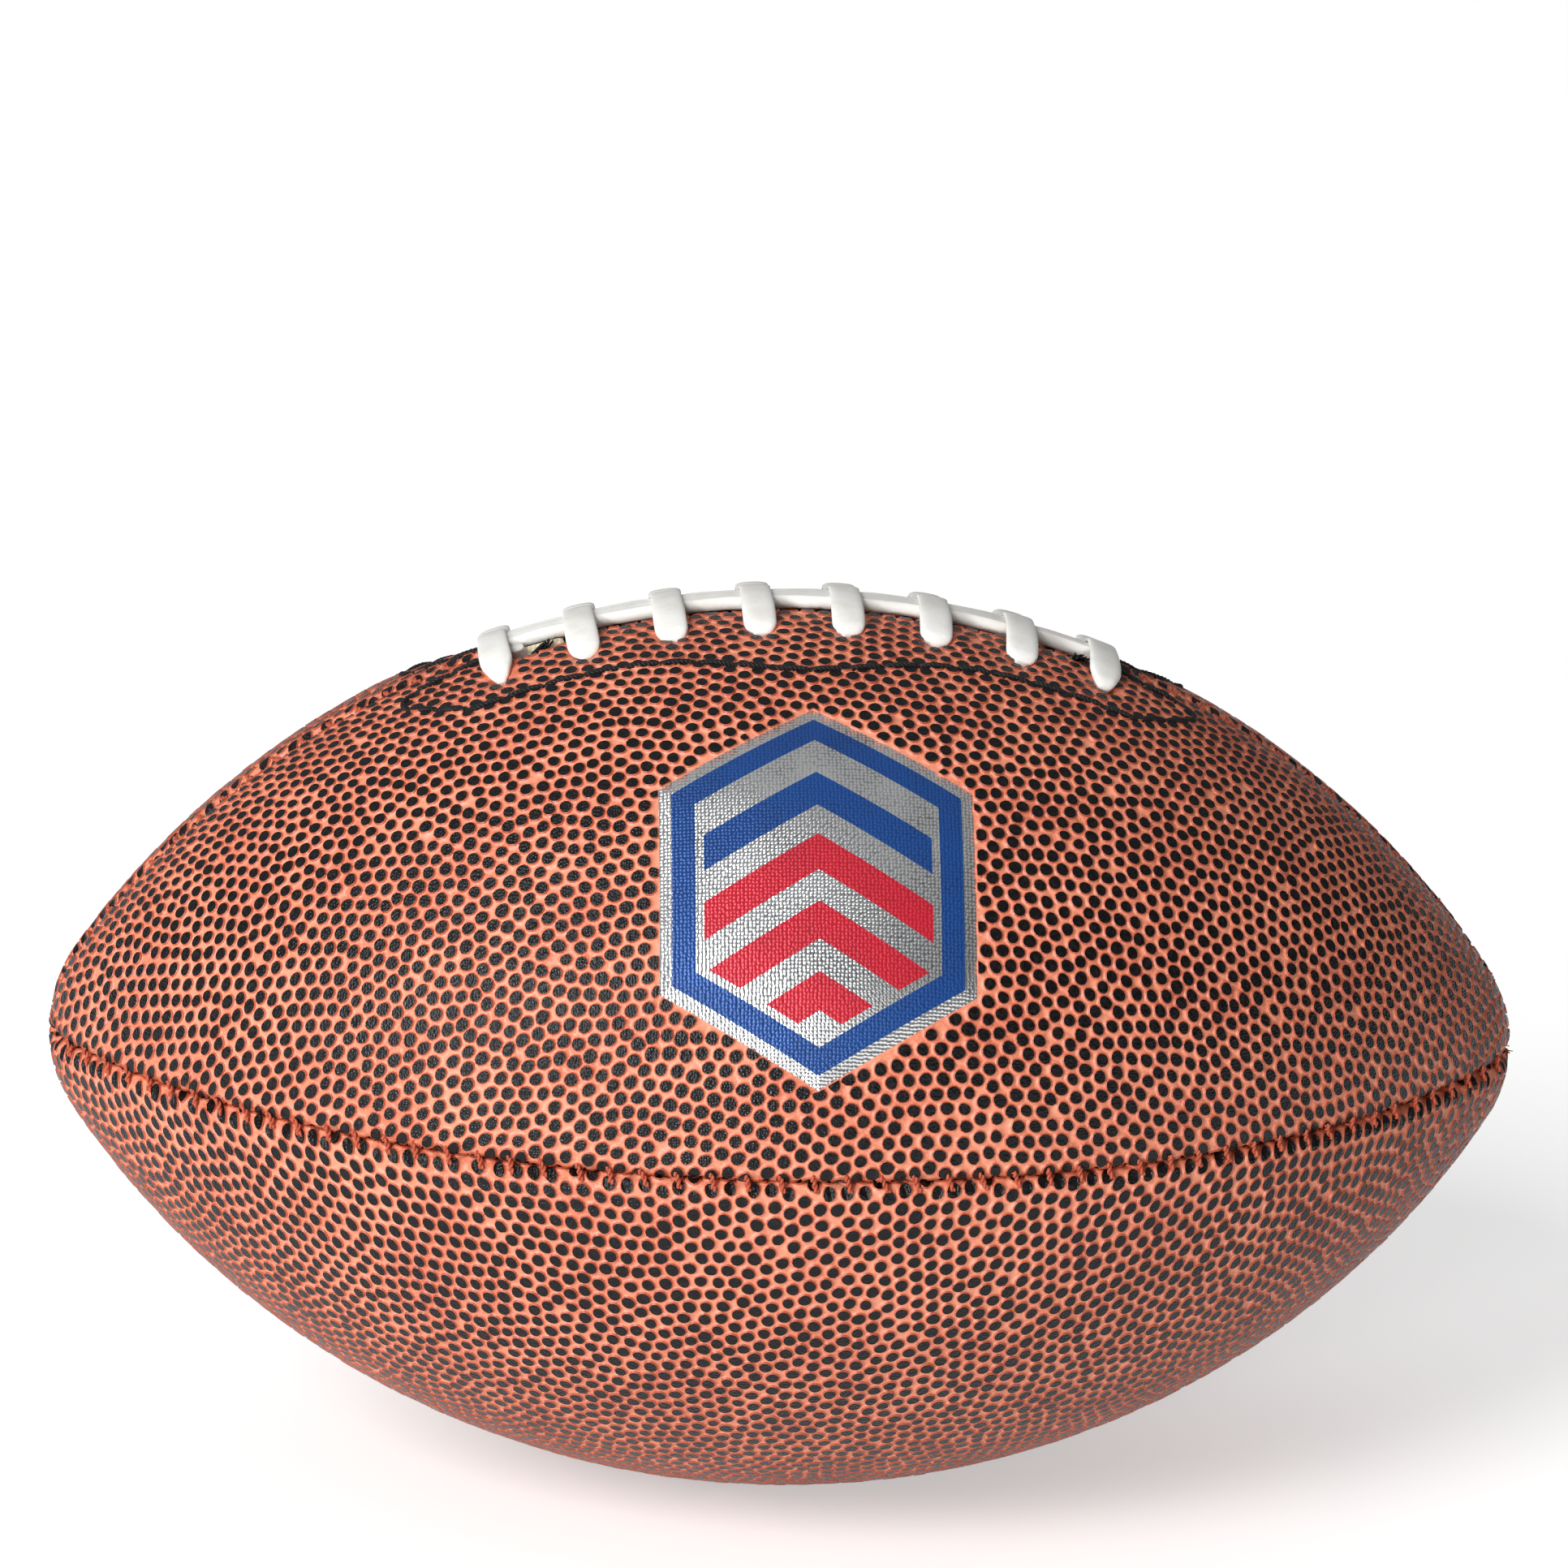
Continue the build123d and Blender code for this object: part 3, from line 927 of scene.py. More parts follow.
@dataclass
class CoverPanel:
    """One quarter of the cover: a closed shell with a raised pebble at every cell of a packed pattern."""

    side: Side
    level: Level
    seed: int
    ball: BallForm
    plan: LacingPlan
    plaque: Plaque | None = None
    valve_angle: float | None = None
    roll: PebbleRoll = PebbleRoll()
    plaque_angle: float = 37.0
    plaque_rise: float = 0.16
    plaque_inset: float = 0.3
    plaque_side_points: int = 23
    valve_radius: float = 2.45
    seam_gap: float = 0.18
    seam_pucker: float = 0.12
    seam_pitch: float = 3.75
    seam_run: float = 0.9
    lip_pull: float = 2.4
    edge_radius: float = 1.3
    edge_share: float = 0.35
    tip_radius: float = 1.2
    slit_fade: float = 2.5
    hole_half_length: float = 0.45
    hole_radius: float = 0.75
    hole_points: int = 20
    hole_turn: float = 0.01
    dimple_depth: float = 0.45
    dimple_reach: float = 1.7
    back_depth: float = 2.2
    back_step: float = 6.0
    back_margin_share: float = 0.6
    border_step: float = 0.75
    end_points: int = 5
    probe: float = 0.02
    cut_margin: float = 0.05
    slack: float = 1e-3
    merge: float = 1e-6
    back_merge: float = 1e-7
    least_turn: float = 1e-8

    def __post_init__(self) -> None:
        """Work out where the openings and the plaque lie on the flat panel."""
        self.end = self.ball.end_station(self.tip_radius)
        self.openings: list[tuple[float, float, float, float]] = []
        if self.level is Level.UPPER:
            for station in self.plan.stations:
                radius = self.ball.meridian(np.array([station]))[1][0]
                across = radius * (HALF_PANEL - math.asin(self.plan.leg_offset / radius))
                self.openings.append((float(station), across, self.hole_half_length, self.hole_radius))
        self.dimples = list(self.openings)
        if self.valve_angle is not None:
            across = self.ball.axis * math.radians(45 - self.valve_angle)
            self.openings.append((0.0, across, 0.0, self.valve_radius))
        self.plaque_centre = (0, self.ball.axis * math.radians(self.plaque_angle - 45))

    @property
    def name(self) -> str:
        """Name of the CAD panel."""
        return f"{self.side.word}_{self.level.word}_panel"

    def half_gap(self, station: Array, top: Array) -> Array:
        """Distance of the panel's edge from the seam plane, wider along the slit.

        Args:
            station: Stations along the panel.
            top: Whether each is on the edge at the top or bottom seam.

        Returns:
            Distances in millimetres.
        """
        gap = self.seam_gap + self.seam_pucker * np.sin(math.pi * station / self.seam_pitch) ** 2
        if self.level is Level.UPPER:
            open_share = ease((self.plan.slit_end - np.abs(station)) / self.slit_fade)
            opening = open_share * (self.plan.slit_half - self.seam_gap)
            if self.side is Side.FRONT:
                opening = opening + self.lip_pull * self.plan.pulled_share(station)
            gap = gap + np.where(top, opening, 0)
        return gap

    def edge_turn(self, station: Array, top: Array) -> tuple[Array, Array, Array]:
        """Rolled edge of the panel.

        Args:
            station: Stations along the panel.
            top: Whether each is on the edge at the top or bottom seam.

        Returns:
            The ball's radius, the roll's radius and the angle at which the roll starts.
        """
        radius = self.ball.meridian(station)[1]
        roll = np.minimum(self.edge_radius, self.edge_share * radius)
        sine = (self.half_gap(station, top) + roll) / (radius - roll)
        return radius, roll, np.arcsin(np.clip(sine, 0, math.sqrt(0.5)))

    def half_width(self, station: Array, top: bool) -> Array:
        """Width of the flat panel from its middle line to one edge.

        Args:
            station: Stations along the panel.
            top: Whether the edge is the one at the top or bottom seam.

        Returns:
            Widths in millimetres.
        """
        radius, roll, turn = self.edge_turn(station, np.full(np.shape(station), top))
        run = np.minimum(self.seam_run, roll)
        return radius * (HALF_PANEL - turn) + roll * (QUARTER + turn) + run

    def skin(self, s: Array, w: Array) -> tuple[Array, Array]:
        """Wrap places on the flat panel round the ball.

        Args:
            s: Stations along the panel.
            w: Distances from its middle line, positive towards the top or bottom seam.

        Returns:
            Points on the skin and the ball's own outward normals there.
        """
        top = w > 0
        radius, roll, turn = self.edge_turn(s, top)
        x, _, lean = self.ball.meridian(s)
        reach = np.abs(w)
        past = reach - radius * (HALF_PANEL - turn)
        run = np.clip(past - roll * (QUARTER + turn), 0, None)
        angle = np.maximum(turn - np.clip(past, 0, None) / roll, -QUARTER)
        flat = HALF_PANEL - reach / radius
        rolled_out = (radius - roll) * np.cos(turn) + roll * np.cos(angle) - run
        rolled_off = (radius - roll) * np.sin(turn) + roll * np.sin(angle)
        out = np.where(past <= 0, radius * np.cos(flat), rolled_out)
        off = np.where(past <= 0, radius * np.sin(flat), rolled_off)
        from_seam = np.arctan2(off, out)
        depth = radius - np.hypot(out, off)
        for station, across, _, _ in self.dimples:
            apart = np.hypot(s - station, w - across) / self.dimple_reach
            depth = depth + self.dimple_depth * np.exp(-apart ** 2)
        around = np.where(top, QUARTER - from_seam, from_seam)
        if self.level is Level.UPPER:
            depth = depth + self.plan.dent(s, self.side.value * radius * np.cos(around))
        y, z = self.side.value * np.cos(around), self.level.value * np.sin(around)
        ring = np.stack([np.zeros_like(x), y, z], -1)
        normal = ring * np.cos(lean)[:, None]
        normal[:, 0] = np.sin(lean)
        points = ring * radius[:, None]
        points[:, 0] = x
        points[:, 2] += self.ball.axis
        return points - normal * depth[:, None], normal

    def place(self, s: Array, w: Array, height: Array) -> Array:
        """Points at heights over the wrapped skin, measured square to it.

        Args:
            s: Stations along the panel.
            w: Distances from its middle line.
            height: Heights over the skin.

        Returns:
            Points in millimetres, one row each.
        """
        along = self.skin(s + self.probe, w)[0] - self.skin(s - self.probe, w)[0]
        across = self.skin(s, w + self.probe)[0] - self.skin(s, w - self.probe)[0]
        out = unit(np.cross(along, across)) * -(self.side.value * self.level.value)
        return self.skin(s, w)[0] + out * height[:, None]

    def room(self, s: Array, w: Array) -> Array:
        """Distance to the nearest edge of the flat panel or of an opening, negative outside.

        Args:
            s: Stations along the panel.
            w: Distances from its middle line.

        Returns:
            Distances in millimetres.
        """
        near = np.minimum(self.half_width(s, True) - w, self.half_width(s, False) + w)
        near = np.minimum(near, self.end - np.abs(s))
        for station, across, half, radius in self.openings:
            beyond = np.clip(np.abs(s - station) - half, 0, None)
            near = np.minimum(near, np.hypot(beyond, w - across) - radius)
        return near

    def plaque_room(self, s: Array, w: Array) -> Array:
        """Distance inside the plaque, negative outside it.

        Args:
            s: Stations along the panel.
            w: Distances from its middle line.

        Returns:
            Distances in millimetres.
        """
        if self.plaque is None:
            return np.full(np.shape(s), -self.ball.length)
        return self.plaque.inside(s, w - self.plaque_centre[1])

    def packed_pebbles(self, rng: Draws) -> Array:
        """Pebble centres: a lattice shaken and pushed apart until the spacing is even but the rows wander.

        Args:
            rng: Seeded source of the shaking.

        Returns:
            Places on the flat panel, one row each.
        """
        roll = self.roll
        limit = self.end - roll.margin
        spots = roll.lattice(self.end + roll.pitch, rng)
        spots = spots[np.abs(spots[:, 0]) < limit]
        spots = spots[self.room(*spots.T) > roll.margin]
        spots = spots + rng.normal(0, roll.pitch * roll.shake_share, spots.shape)
        for _ in range(roll.rounds):
            spots = roll.pushed_apart(spots)
            spots[:, 0] = np.clip(spots[:, 0], -limit, limit)
            top = self.half_width(spots[:, 0], True) - roll.margin
            bottom = roll.margin - self.half_width(spots[:, 0], False)
            spots[:, 1] = np.clip(spots[:, 1], np.minimum(bottom, 0), np.maximum(top, 0))
        spots = spots[self.room(*spots.T) > roll.margin * roll.keep_share]
        return spots[self.plaque_room(*spots.T) < -roll.margin * roll.plaque_share]

    def border_loops(self) -> list[Array]:
        """Closed loops round the flat panel, its openings and its plaque.

        Returns:
            Places round each loop.
        """
        count = int(2 * self.end / self.border_step)
        stations = np.linspace(-self.end, self.end, count)
        top = np.stack([stations, self.half_width(stations, True)], 1)
        bottom = np.stack([stations, -self.half_width(stations, False)], 1)
        shares = np.linspace(0, 1, self.end_points)[1:-1, None]
        right, left = (top[end] * (1 - shares) + bottom[end] * shares for end in (-1, 0))
        loops = [np.concatenate([bottom, right[::-1], top[::-1], left])]
        angles = np.linspace(0, TURN, self.hole_points, endpoint=False) + self.hole_turn
        for station, across, half, radius in self.openings:
            along = station + half * np.sign(np.cos(angles)) + radius * np.cos(angles)
            loops.append(np.stack([along, across + radius * np.sin(angles)], 1))
        if self.plaque is not None:
            corners = self.plaque.hexagon(0) + self.plaque_centre
            sides = [np.linspace(corners[number - 1], corner, self.plaque_side_points)[:-1]
                     for number, corner in enumerate(corners)]
            loops.append(np.concatenate(sides))
        return loops

    def triangulated(self, spots: Array, loops: list[Array],
                     lines: list[Array]) -> tuple[Array, Array, Array]:
        """Triangles of the flat panel through given places, with loops and lines as edges.

        Args:
            spots: Places inside the panel.
            loops: Closed loops that triangles don't cross.
            lines: Open lines that triangles don't cross.

        Returns:
            All places, the number of the spot at each place or more where there is none, and the triangles.
        """
        edges = []
        start = len(spots)
        for path in loops + lines:
            numbers = np.arange(start, start + len(path)).tolist()
            edges += list(zip(numbers[:-1], numbers[1:]))
            start += len(path)
        start = len(spots)
        for loop in loops:
            edges.append((start + len(loop) - 1, start))
            start += len(loop)
        places = np.concatenate([spots, *loops, *lines])
        result = delaunay_2d_cdt([Vector(place) for place in places.tolist()], edges, [], 0, self.merge)
        found = np.array([tuple(place) for place in result[0]])
        origin = np.array([min(source) if source else len(places) for source in result[3]])
        triangles = np.array([face for face in result[2] if len(face) == 3])
        triangles = triangles[self.room(*found[triangles].mean(1).T) > -self.slack]
        turn = signed_turn(found[triangles])
        triangles[turn < 0] = triangles[turn < 0][:, ::-1]
        return found, origin, triangles[np.abs(turn) > self.least_turn]

    def build(self, finishes: list[Material]) -> Item:
        """Make the panel.

        Args:
            finishes: Materials in the order of the finish slots.

        Returns:
            The panel.
        """
        rng = np.random.default_rng(self.seed)
        spots = self.packed_pebbles(rng)
        pebbles = len(spots)
        lines = []
        if self.plaque is not None:
            lines = self.plaque.lines(self.plaque_centre)
            spots = np.concatenate([spots, self.plaque.fill() + self.plaque_centre])
        places, origin, triangles = self.triangulated(spots, self.border_loops(), lines)
        sizes = self.roll.radius * rng.normal(1, self.roll.size_spread, len(places))
        sizes[origin >= pebbles] = 0
        points, faces, slots, flat = self.cells(places, triangles, sizes, rng)
        back_points, back_faces, back_slots, back_flat = self.back(faces, flat, len(points))
        points = np.concatenate([points, back_points])
        faces = faces + back_faces
        slots = np.concatenate([slots, back_slots])
        if self.side.value * self.level.value > 0:
            faces = [face[::-1] for face in faces]
        item = mesh_object(f"{self.name}_pebbled", points, faces, finishes, slots, Skin.INK)
        drawn = np.zeros((len(points), 3), np.float32)
        drawn[:, :2] = np.concatenate([flat, back_flat])
        item.data.attributes.new("plaque", "FLOAT_VECTOR", "POINT").data.foreach_set("vector", drawn.ravel())
        log.info("%s has %d pebbles", item.name, pebbles)
        return item

    def cells(self, places: Array, triangles: Array, sizes: Array,
              rng: Draws) -> tuple[Array, list, Array, Array]:
        """Turn each triangle corner into a slice of a pebble, or of plain ground.

        Args:
            places: Places on the flat panel.
            triangles: Triangles between them.
            sizes: Radius of the pebble at each place, zero on plain ground.
            rng: Seeded source of the pebbles' irregular outlines.

        Returns:
            Points, faces, each face's finish slot, and each point's place on the flat panel.
        """
        # Valleys lie between two neighbours, and one more place in the middle of each triangle.
        roll = self.roll
        heights = np.where(self.plaque_room(*places.T) > self.plaque_inset, self.plaque_rise, 0)
        pairs = triangles[:, [0, 1, 1, 2, 2, 0]].reshape(-1, 2)
        links, numbers = np.unique(np.sort(pairs, axis=1), axis=0, return_inverse=True)
        numbers = numbers.reshape(-1, 3)
        low, high = places[links[:, 0]], places[links[:, 1]]
        apart = np.linalg.norm(high - low, axis=1)
        share = (sizes[links[:, 0]] - sizes[links[:, 1]] + apart) / (2 * apart)
        valley = low + (high - low) * np.clip(share, *roll.valley_shares)[:, None]
        valley_height = heights[links].mean(1)
        rim = np.concatenate([valley, valley[numbers].mean(1)])
        rim_height = np.concatenate([valley_height, valley_height[numbers].mean(1)])
        count = len(rim)
        own = np.concatenate([triangles[:, corner] for corner in range(3)])
        before = np.concatenate([numbers[:, corner] for corner in range(3)])
        after = np.concatenate([numbers[:, (corner + 2) % 3] for corner in range(3)])
        centre = np.tile(np.arange(len(triangles)) + len(links), 3)

        # Plain ground and the plaque: one face for each corner of a triangle.
        plain = sizes == 0
        plain_number = count + np.cumsum(plain) - 1
        bare = plain[own]
        faces = np.stack([plain_number[own], before, centre, after], 1)[bare].tolist()
        ground = np.full(len(triangles), int(Skin.HIDE))
        if self.plaque is not None:
            s, w = places[triangles].mean(1).T
            printed = self.plaque.ink(s, w - self.plaque_centre[1])
            ground = np.where(self.plaque_room(s, w) > 0, printed, ground)
        slots = [np.tile(ground, 3)[bare]]

        # Pebbles: a ring of valley places, drawn in to a foot and a top.
        owner = np.tile(own[~bare], 2)
        start = np.concatenate([before[~bare], centre[~bare]])
        stop = np.concatenate([centre[~bare], after[~bare]])
        both = np.concatenate([owner * count + start, owner * count + stop])
        keys, found = np.unique(both, return_inverse=True)
        first, second = found[:len(owner)], found[len(owner):]
        holder, corner = keys // count, keys % count
        ray = rim[corner] - places[holder]
        length = np.linalg.norm(ray, axis=1)
        angle = np.arctan2(ray[:, 1], ray[:, 0])
        phase = rng.uniform(0, TURN, (2, len(places)))
        oval = roll.oval_share * np.cos(2 * (angle - phase[0, holder]))
        corners = roll.corner_share * np.cos(3 * (angle - phase[1, holder]))
        top = np.minimum(sizes[holder] * (1 + oval + corners), roll.top_cell_share * length)
        foot = np.minimum(top * roll.foot_share, roll.foot_cell_share * length)
        tops = places[holder] + ray * (top / length)[:, None]
        feet = places[holder] + ray * (foot / length)[:, None]
        lift = roll.height * rng.normal(1, roll.height_spread, len(places))[holder]
        offset = count + int(plain.sum())
        base = offset + len(keys)
        faces += np.stack([base + first, start, stop, base + second], 1).tolist()
        faces += np.stack([offset + first, base + first, base + second, offset + second], 1).tolist()
        order = np.lexsort((angle, holder))
        tops_of = np.split(order + offset, np.flatnonzero(np.diff(holder[order])) + 1)
        faces += [ring.tolist() for ring in tops_of]
        # Walls from foot to top take the flank finish, a darker red that paints shade on them.
        sides = [int(Skin.HIDE), int(Skin.PAINTED_SHADE_FLANK)]
        slots += [np.repeat(sides, len(owner)), np.full(len(tops_of), int(Skin.INK))]
        flat = np.concatenate([rim, places[plain], tops, feet])
        level = np.concatenate([rim_height, heights[plain], lift, lift * roll.foot_height_share])
        return self.place(*flat.T, level), faces, np.concatenate(slots), flat

    def back(self, faces: list, flat: Array, start: int) -> tuple[Array, list, Array, Array]:
        """Close the shell: turn every open edge inward and lay a smooth back across.

        Args:
            faces: Faces of the outside.
            flat: Each point's place on the flat panel.
            start: Number of the first new point.

        Returns:
            New points, new faces, their finish slots, and the new points' places on the flat panel.
        """
        edges = np.array([(face[number], face[(number + 1) % len(face)])
                          for face in faces for number in range(len(face))])
        _, first, counts = np.unique(np.sort(edges, axis=1), axis=0, return_index=True, return_counts=True)
        rim = edges[first[counts == 1]]
        corners = np.unique(rim)
        hem = np.searchsorted(corners, rim)
        spread = np.arange(-self.end, self.end, self.back_step)
        grid = np.stack(np.meshgrid(spread, spread), -1).reshape(-1, 2)
        grid = grid[np.abs(grid[:, 0]) < self.end - self.back_step]
        grid = grid[self.room(*grid.T) > self.back_step * self.back_margin_share]
        sheet = np.concatenate([flat[corners], grid])
        places = [Vector(place) for place in sheet.tolist()]
        result = delaunay_2d_cdt(places, hem.tolist(), [], 0, self.back_merge)
        origin = np.array([min(source) if source else -1 for source in result[3]])
        triangles = origin[np.array([face for face in result[2] if len(face) == 3])]
        triangles = triangles[(triangles >= 0).all(1)]
        triangles = triangles[self.room(*sheet[triangles].mean(1).T) > -self.slack]
        turn = signed_turn(sheet[triangles])
        triangles[turn > 0] = triangles[turn > 0][:, ::-1]
        skin, normal = self.skin(*sheet.T)
        points = skin - normal * self.back_depth
        walls = np.stack([rim[:, 1], rim[:, 0], start + hem[:, 0], start + hem[:, 1]], 1)
        at, across = flat[rim[:, 0]].T
        cut = (np.abs(at) < self.plan.slit_end) & (across > self.half_width(at, True) - self.cut_margin)
        slots = np.where(cut & (self.level is Level.UPPER), int(Skin.LINING), int(Skin.HIDE))
        slots = np.concatenate([slots, np.full(len(triangles), int(Skin.LINING))])
        return points, walls.tolist() + (triangles + start).tolist(), slots, sheet


def sweep_frames(path: Array, across: Array) -> tuple[Array, Array]:
    """Square up width directions along a path.

    Args:
        path: Points along the middle.
        across: Rough width directions, one for each point.

    Returns:
        Width and thickness directions at each point.
    """
    tangent = unit(np.gradient(path, axis=0))
    width = unit(across - tangent * (across * tangent).sum(1, keepdims=True))
    return width, np.cross(tangent, width)


def cord_rings(path: Array, radius: Array, around: int = 5) -> Array:
    """Rings of a round cord along a path, with no twist of their own.

    Args:
        path: Points along the middle.
        radius: Radius at each point.
        around: Points in a ring.

    Returns:
        Points by ring and place round it.
    """
    tangent = unit(np.gradient(path, axis=0))
    guide = np.cross(tangent[0], CORD_GUIDE)
    side = np.empty_like(path)
    for number, direction in enumerate(tangent):
        guide = guide - direction * (guide @ direction)
        guide = guide / np.linalg.norm(guide)
        side[number] = guide
    up = np.cross(tangent, side)
    turn = np.linspace(0, TURN, around, endpoint=False)
    ring = side[:, None] * np.cos(turn)[None, :, None] + up[:, None] * np.sin(turn)[None, :, None]
    return path[:, None] + ring * radius[:, None, None]


def eased_line(line: Array, rounds: int = 3, far: float = 0.25) -> Array:
    """Cut the corners of an open line.

    Args:
        line: Points along it, one row each.
        rounds: How often each corner is cut.
        far: Share of a side that a cut takes at each end of it.

    Returns:
        More points, with the same two ends.
    """
    near = 1 - far
    for _ in range(rounds):
        cut = np.stack([line[:-1] * near + line[1:] * far, line[:-1] * far + line[1:] * near], 1)
        line = np.concatenate([line[:1], cut.reshape(-1, line.shape[1]), line[-1:]])
    return line


@dataclass
class ThreadSpinner:
    """Gathers thread tubes into one mesh."""

    ply_offset_share: float = 0.5
    ply_radius_share: float = 0.56
    points: list[Array] = field(default_factory=list)
    faces: list = field(default_factory=list)
    count: int = 0

    def add(self, rings: Array) -> None:
        """Add one closed tube.

        Args:
            rings: Points by ring and place round it.
        """
        self.faces += skin_rings(rings, self.count)
        self.points.append(rings.reshape(-1, 3))
        self.count += rings.shape[0] * rings.shape[1]

    def add_twisted(self, path: Array, radius: float, lay: float, plies: int = 3) -> None:
        """Add a thread of several plies laid round each other.

        Args:
            path: Points along the thread's middle.
            radius: Radius of the whole thread.
            lay: Length of one turn of a ply.
            plies: Number of plies.
        """
        # The first two of four places round the path lie a quarter turn apart.
        guide = cord_rings(path, np.ones(len(path)), 4)
        side, up = guide[:, 0] - path, guide[:, 1] - path
        run = run_along(path)
        for ply in range(plies):
            turn = run * TURN / lay + ply * TURN / plies
            away = side * np.cos(turn)[:, None] + up * np.sin(turn)[:, None]
            middle = path + away * radius * self.ply_offset_share
            self.add(cord_rings(middle, np.full(len(path), radius * self.ply_radius_share)))

    def item(self, name: str, material: Material) -> Item:
        """Make the object."""
        return mesh_object(name, np.concatenate(self.points), self.faces, [material])


@dataclass
class Lacing:
    """The white lace: one tape with a lengthwise strand and eight cross bars, wound through the holes."""

    plan: LacingPlan
    tail: float = 4.0
    tail_route: tuple[Triple, ...] = (
        (0.9, -5.2, -5.1), (2.0, -2.6, -4.4), (2.5, -1.7, -2.6), (2.6, -2.2, -0.9), (2.5, -3.0, 0.35))
    tail_end_width: float = 1.4
    around: int = 32
    roundness: float = 2.8
    bar_width: float = 3.8
    tip_level: float = -0.6
    tip: Triple = (1.8, 1.5, 1.9)
    end_tip: Triple = (3.2, 1.2, 1.4)
    crown_share: float = 0.92
    crown_reach: float = 6.0
    crown_thickness: float = 0.75
    crown_points: int = 13
    thin_reach: float = 7.0
    show_rise: float = 0.8
    press: float = 0.2
    press_reach: float = 1.7
    rear_hug: float = 0.75
    hug_start: float = 1.4
    hug_rise: float = 2.6
    hug_end: float = 7.8
    hug_fall: float = 2.4
    inside_level: float = -2.7
    inside_share: float = 0.85
    leg_points: int = 9
    bend_points: int = 7
    corner_gap: float = 0.4
    strand_thickness: float = 1.55
    strand_points: int = 141
    surface_drop: float = 1.0
    surface_rise: float = 1.5
    rib_depth: float = 0.2
    rib_waves: float = 2.6
    narrow_width: float = 2.4
    narrow_lead: float = 2.0
    narrow_run: float = 3.0
    width_wave: float = 0.05
    wave_rate: float = 0.9
    probe: float = 0.01

    @property
    def strand_middle(self) -> float:
        """Height of the strand's middle between two cross bars."""
        return self.plan.strand_level - (self.strand_thickness - self.plan.tape_thickness) / 2

    @property
    def crown_level(self) -> float:
        """Height of a cross bar's middle where it presses on the strand."""
        strand_top = self.strand_middle + self.strand_thickness / 2 - self.press
        return strand_top + self.plan.self_gap + self.crown_thickness / 2

    @property
    def inside_width(self) -> float:
        """Width of the tape inside the ball, where it is squeezed together."""
        return self.plan.tape_width * self.inside_share

    def on_surface(self, level: Array) -> Array:
        """Share by which places on the strand are out in the open."""
        return ease((level + self.surface_drop) / self.surface_rise)

    def bar_half(self) -> Array:
        """Outline of a cross bar's rear half in the plane across the slit, from inside up to the crown.

        Returns:
            Places as (y, level).
        """
        plan = self.plan
        heel_level = plan.bend - plan.inside_depth
        shoulder_y = plan.leg_offset - plan.shoulder
        crown_centre = self.crown_level - plan.crown_radius
        rise = math.sqrt((plan.crown_radius - plan.shoulder) ** 2 - shoulder_y ** 2)
        lean = math.atan2(shoulder_y, rise)
        heel = np.linspace(-QUARTER, 0, self.bend_points)
        leg = np.linspace(heel_level, crown_centre + rise, self.leg_points)[1:-1]
        swell = np.linspace(0, QUARTER - lean, self.leg_points)
        crown = np.linspace(lean, 0, self.crown_points)[1:]
        pieces = [
            arc((plan.leg_offset - plan.bend, heel_level), plan.bend, heel),
            np.stack([np.full(len(leg), plan.leg_offset), leg], 1),
            arc((shoulder_y, crown_centre + rise), plan.shoulder, swell),
            arc((crown_centre, 0), plan.crown_radius, crown)[:, ::-1],
        ]
        return np.concatenate(pieces)

    def winding(self) -> tuple[Array, Array, Array]:
        """Route of the cross bars from the last rear hole to the tail inside the first front hole.

        Returns:
            Places as (station, y, level), widths, and the share by which each place is a cross bar on show.
        """
        half = self.bar_half()
        bar = np.concatenate([half, (half * (-1, 1))[-2::-1]])
        hug = self.rear_hug * ease((bar[:, 0] - self.hug_start) / self.hug_rise)
        bar[:, 1] -= hug * ease((self.hug_end - bar[:, 0]) / self.hug_fall)
        above = bar[:, 1] - self.plan.skin_level(bar[:, 0])
        run = run_along(bar)
        outside = run[above > self.tip_level]
        from_tip = np.minimum(run - outside[0], outside[-1] - run)
        waist = self.crown_share + (1 - self.crown_share) * ease(np.abs(bar[:, 0]) / self.crown_reach)
        route, widths, shown = [], [], []
        for station in self.plan.stations[::-1]:
            length, least, curve = self.end_tip if abs(station) > self.plan.stations[-2] else self.tip
            bulge = (1 - (1 - np.clip(from_tip / length, 0, 1)) ** curve) ** (1 / curve)
            width = (least + (self.bar_width - least) * bulge) * waist
            route.append(np.column_stack([np.full(len(bar), station), bar]))
            widths.append(np.where(above < self.inside_level, self.inside_width, width))
            shown.append(ease(above / self.show_rise))
        turns = np.array(self.tail_route) + (float(self.plan.stations[0]), 0, 0)
        tail = eased_line(np.concatenate([route[-1][-1:], turns]))[1:]
        route.append(tail)
        widths.append(np.linspace(self.inside_width, self.tail_end_width, len(tail)))
        shown.append(np.zeros(len(tail)))
        return np.concatenate(route), np.concatenate(widths), np.concatenate(shown)

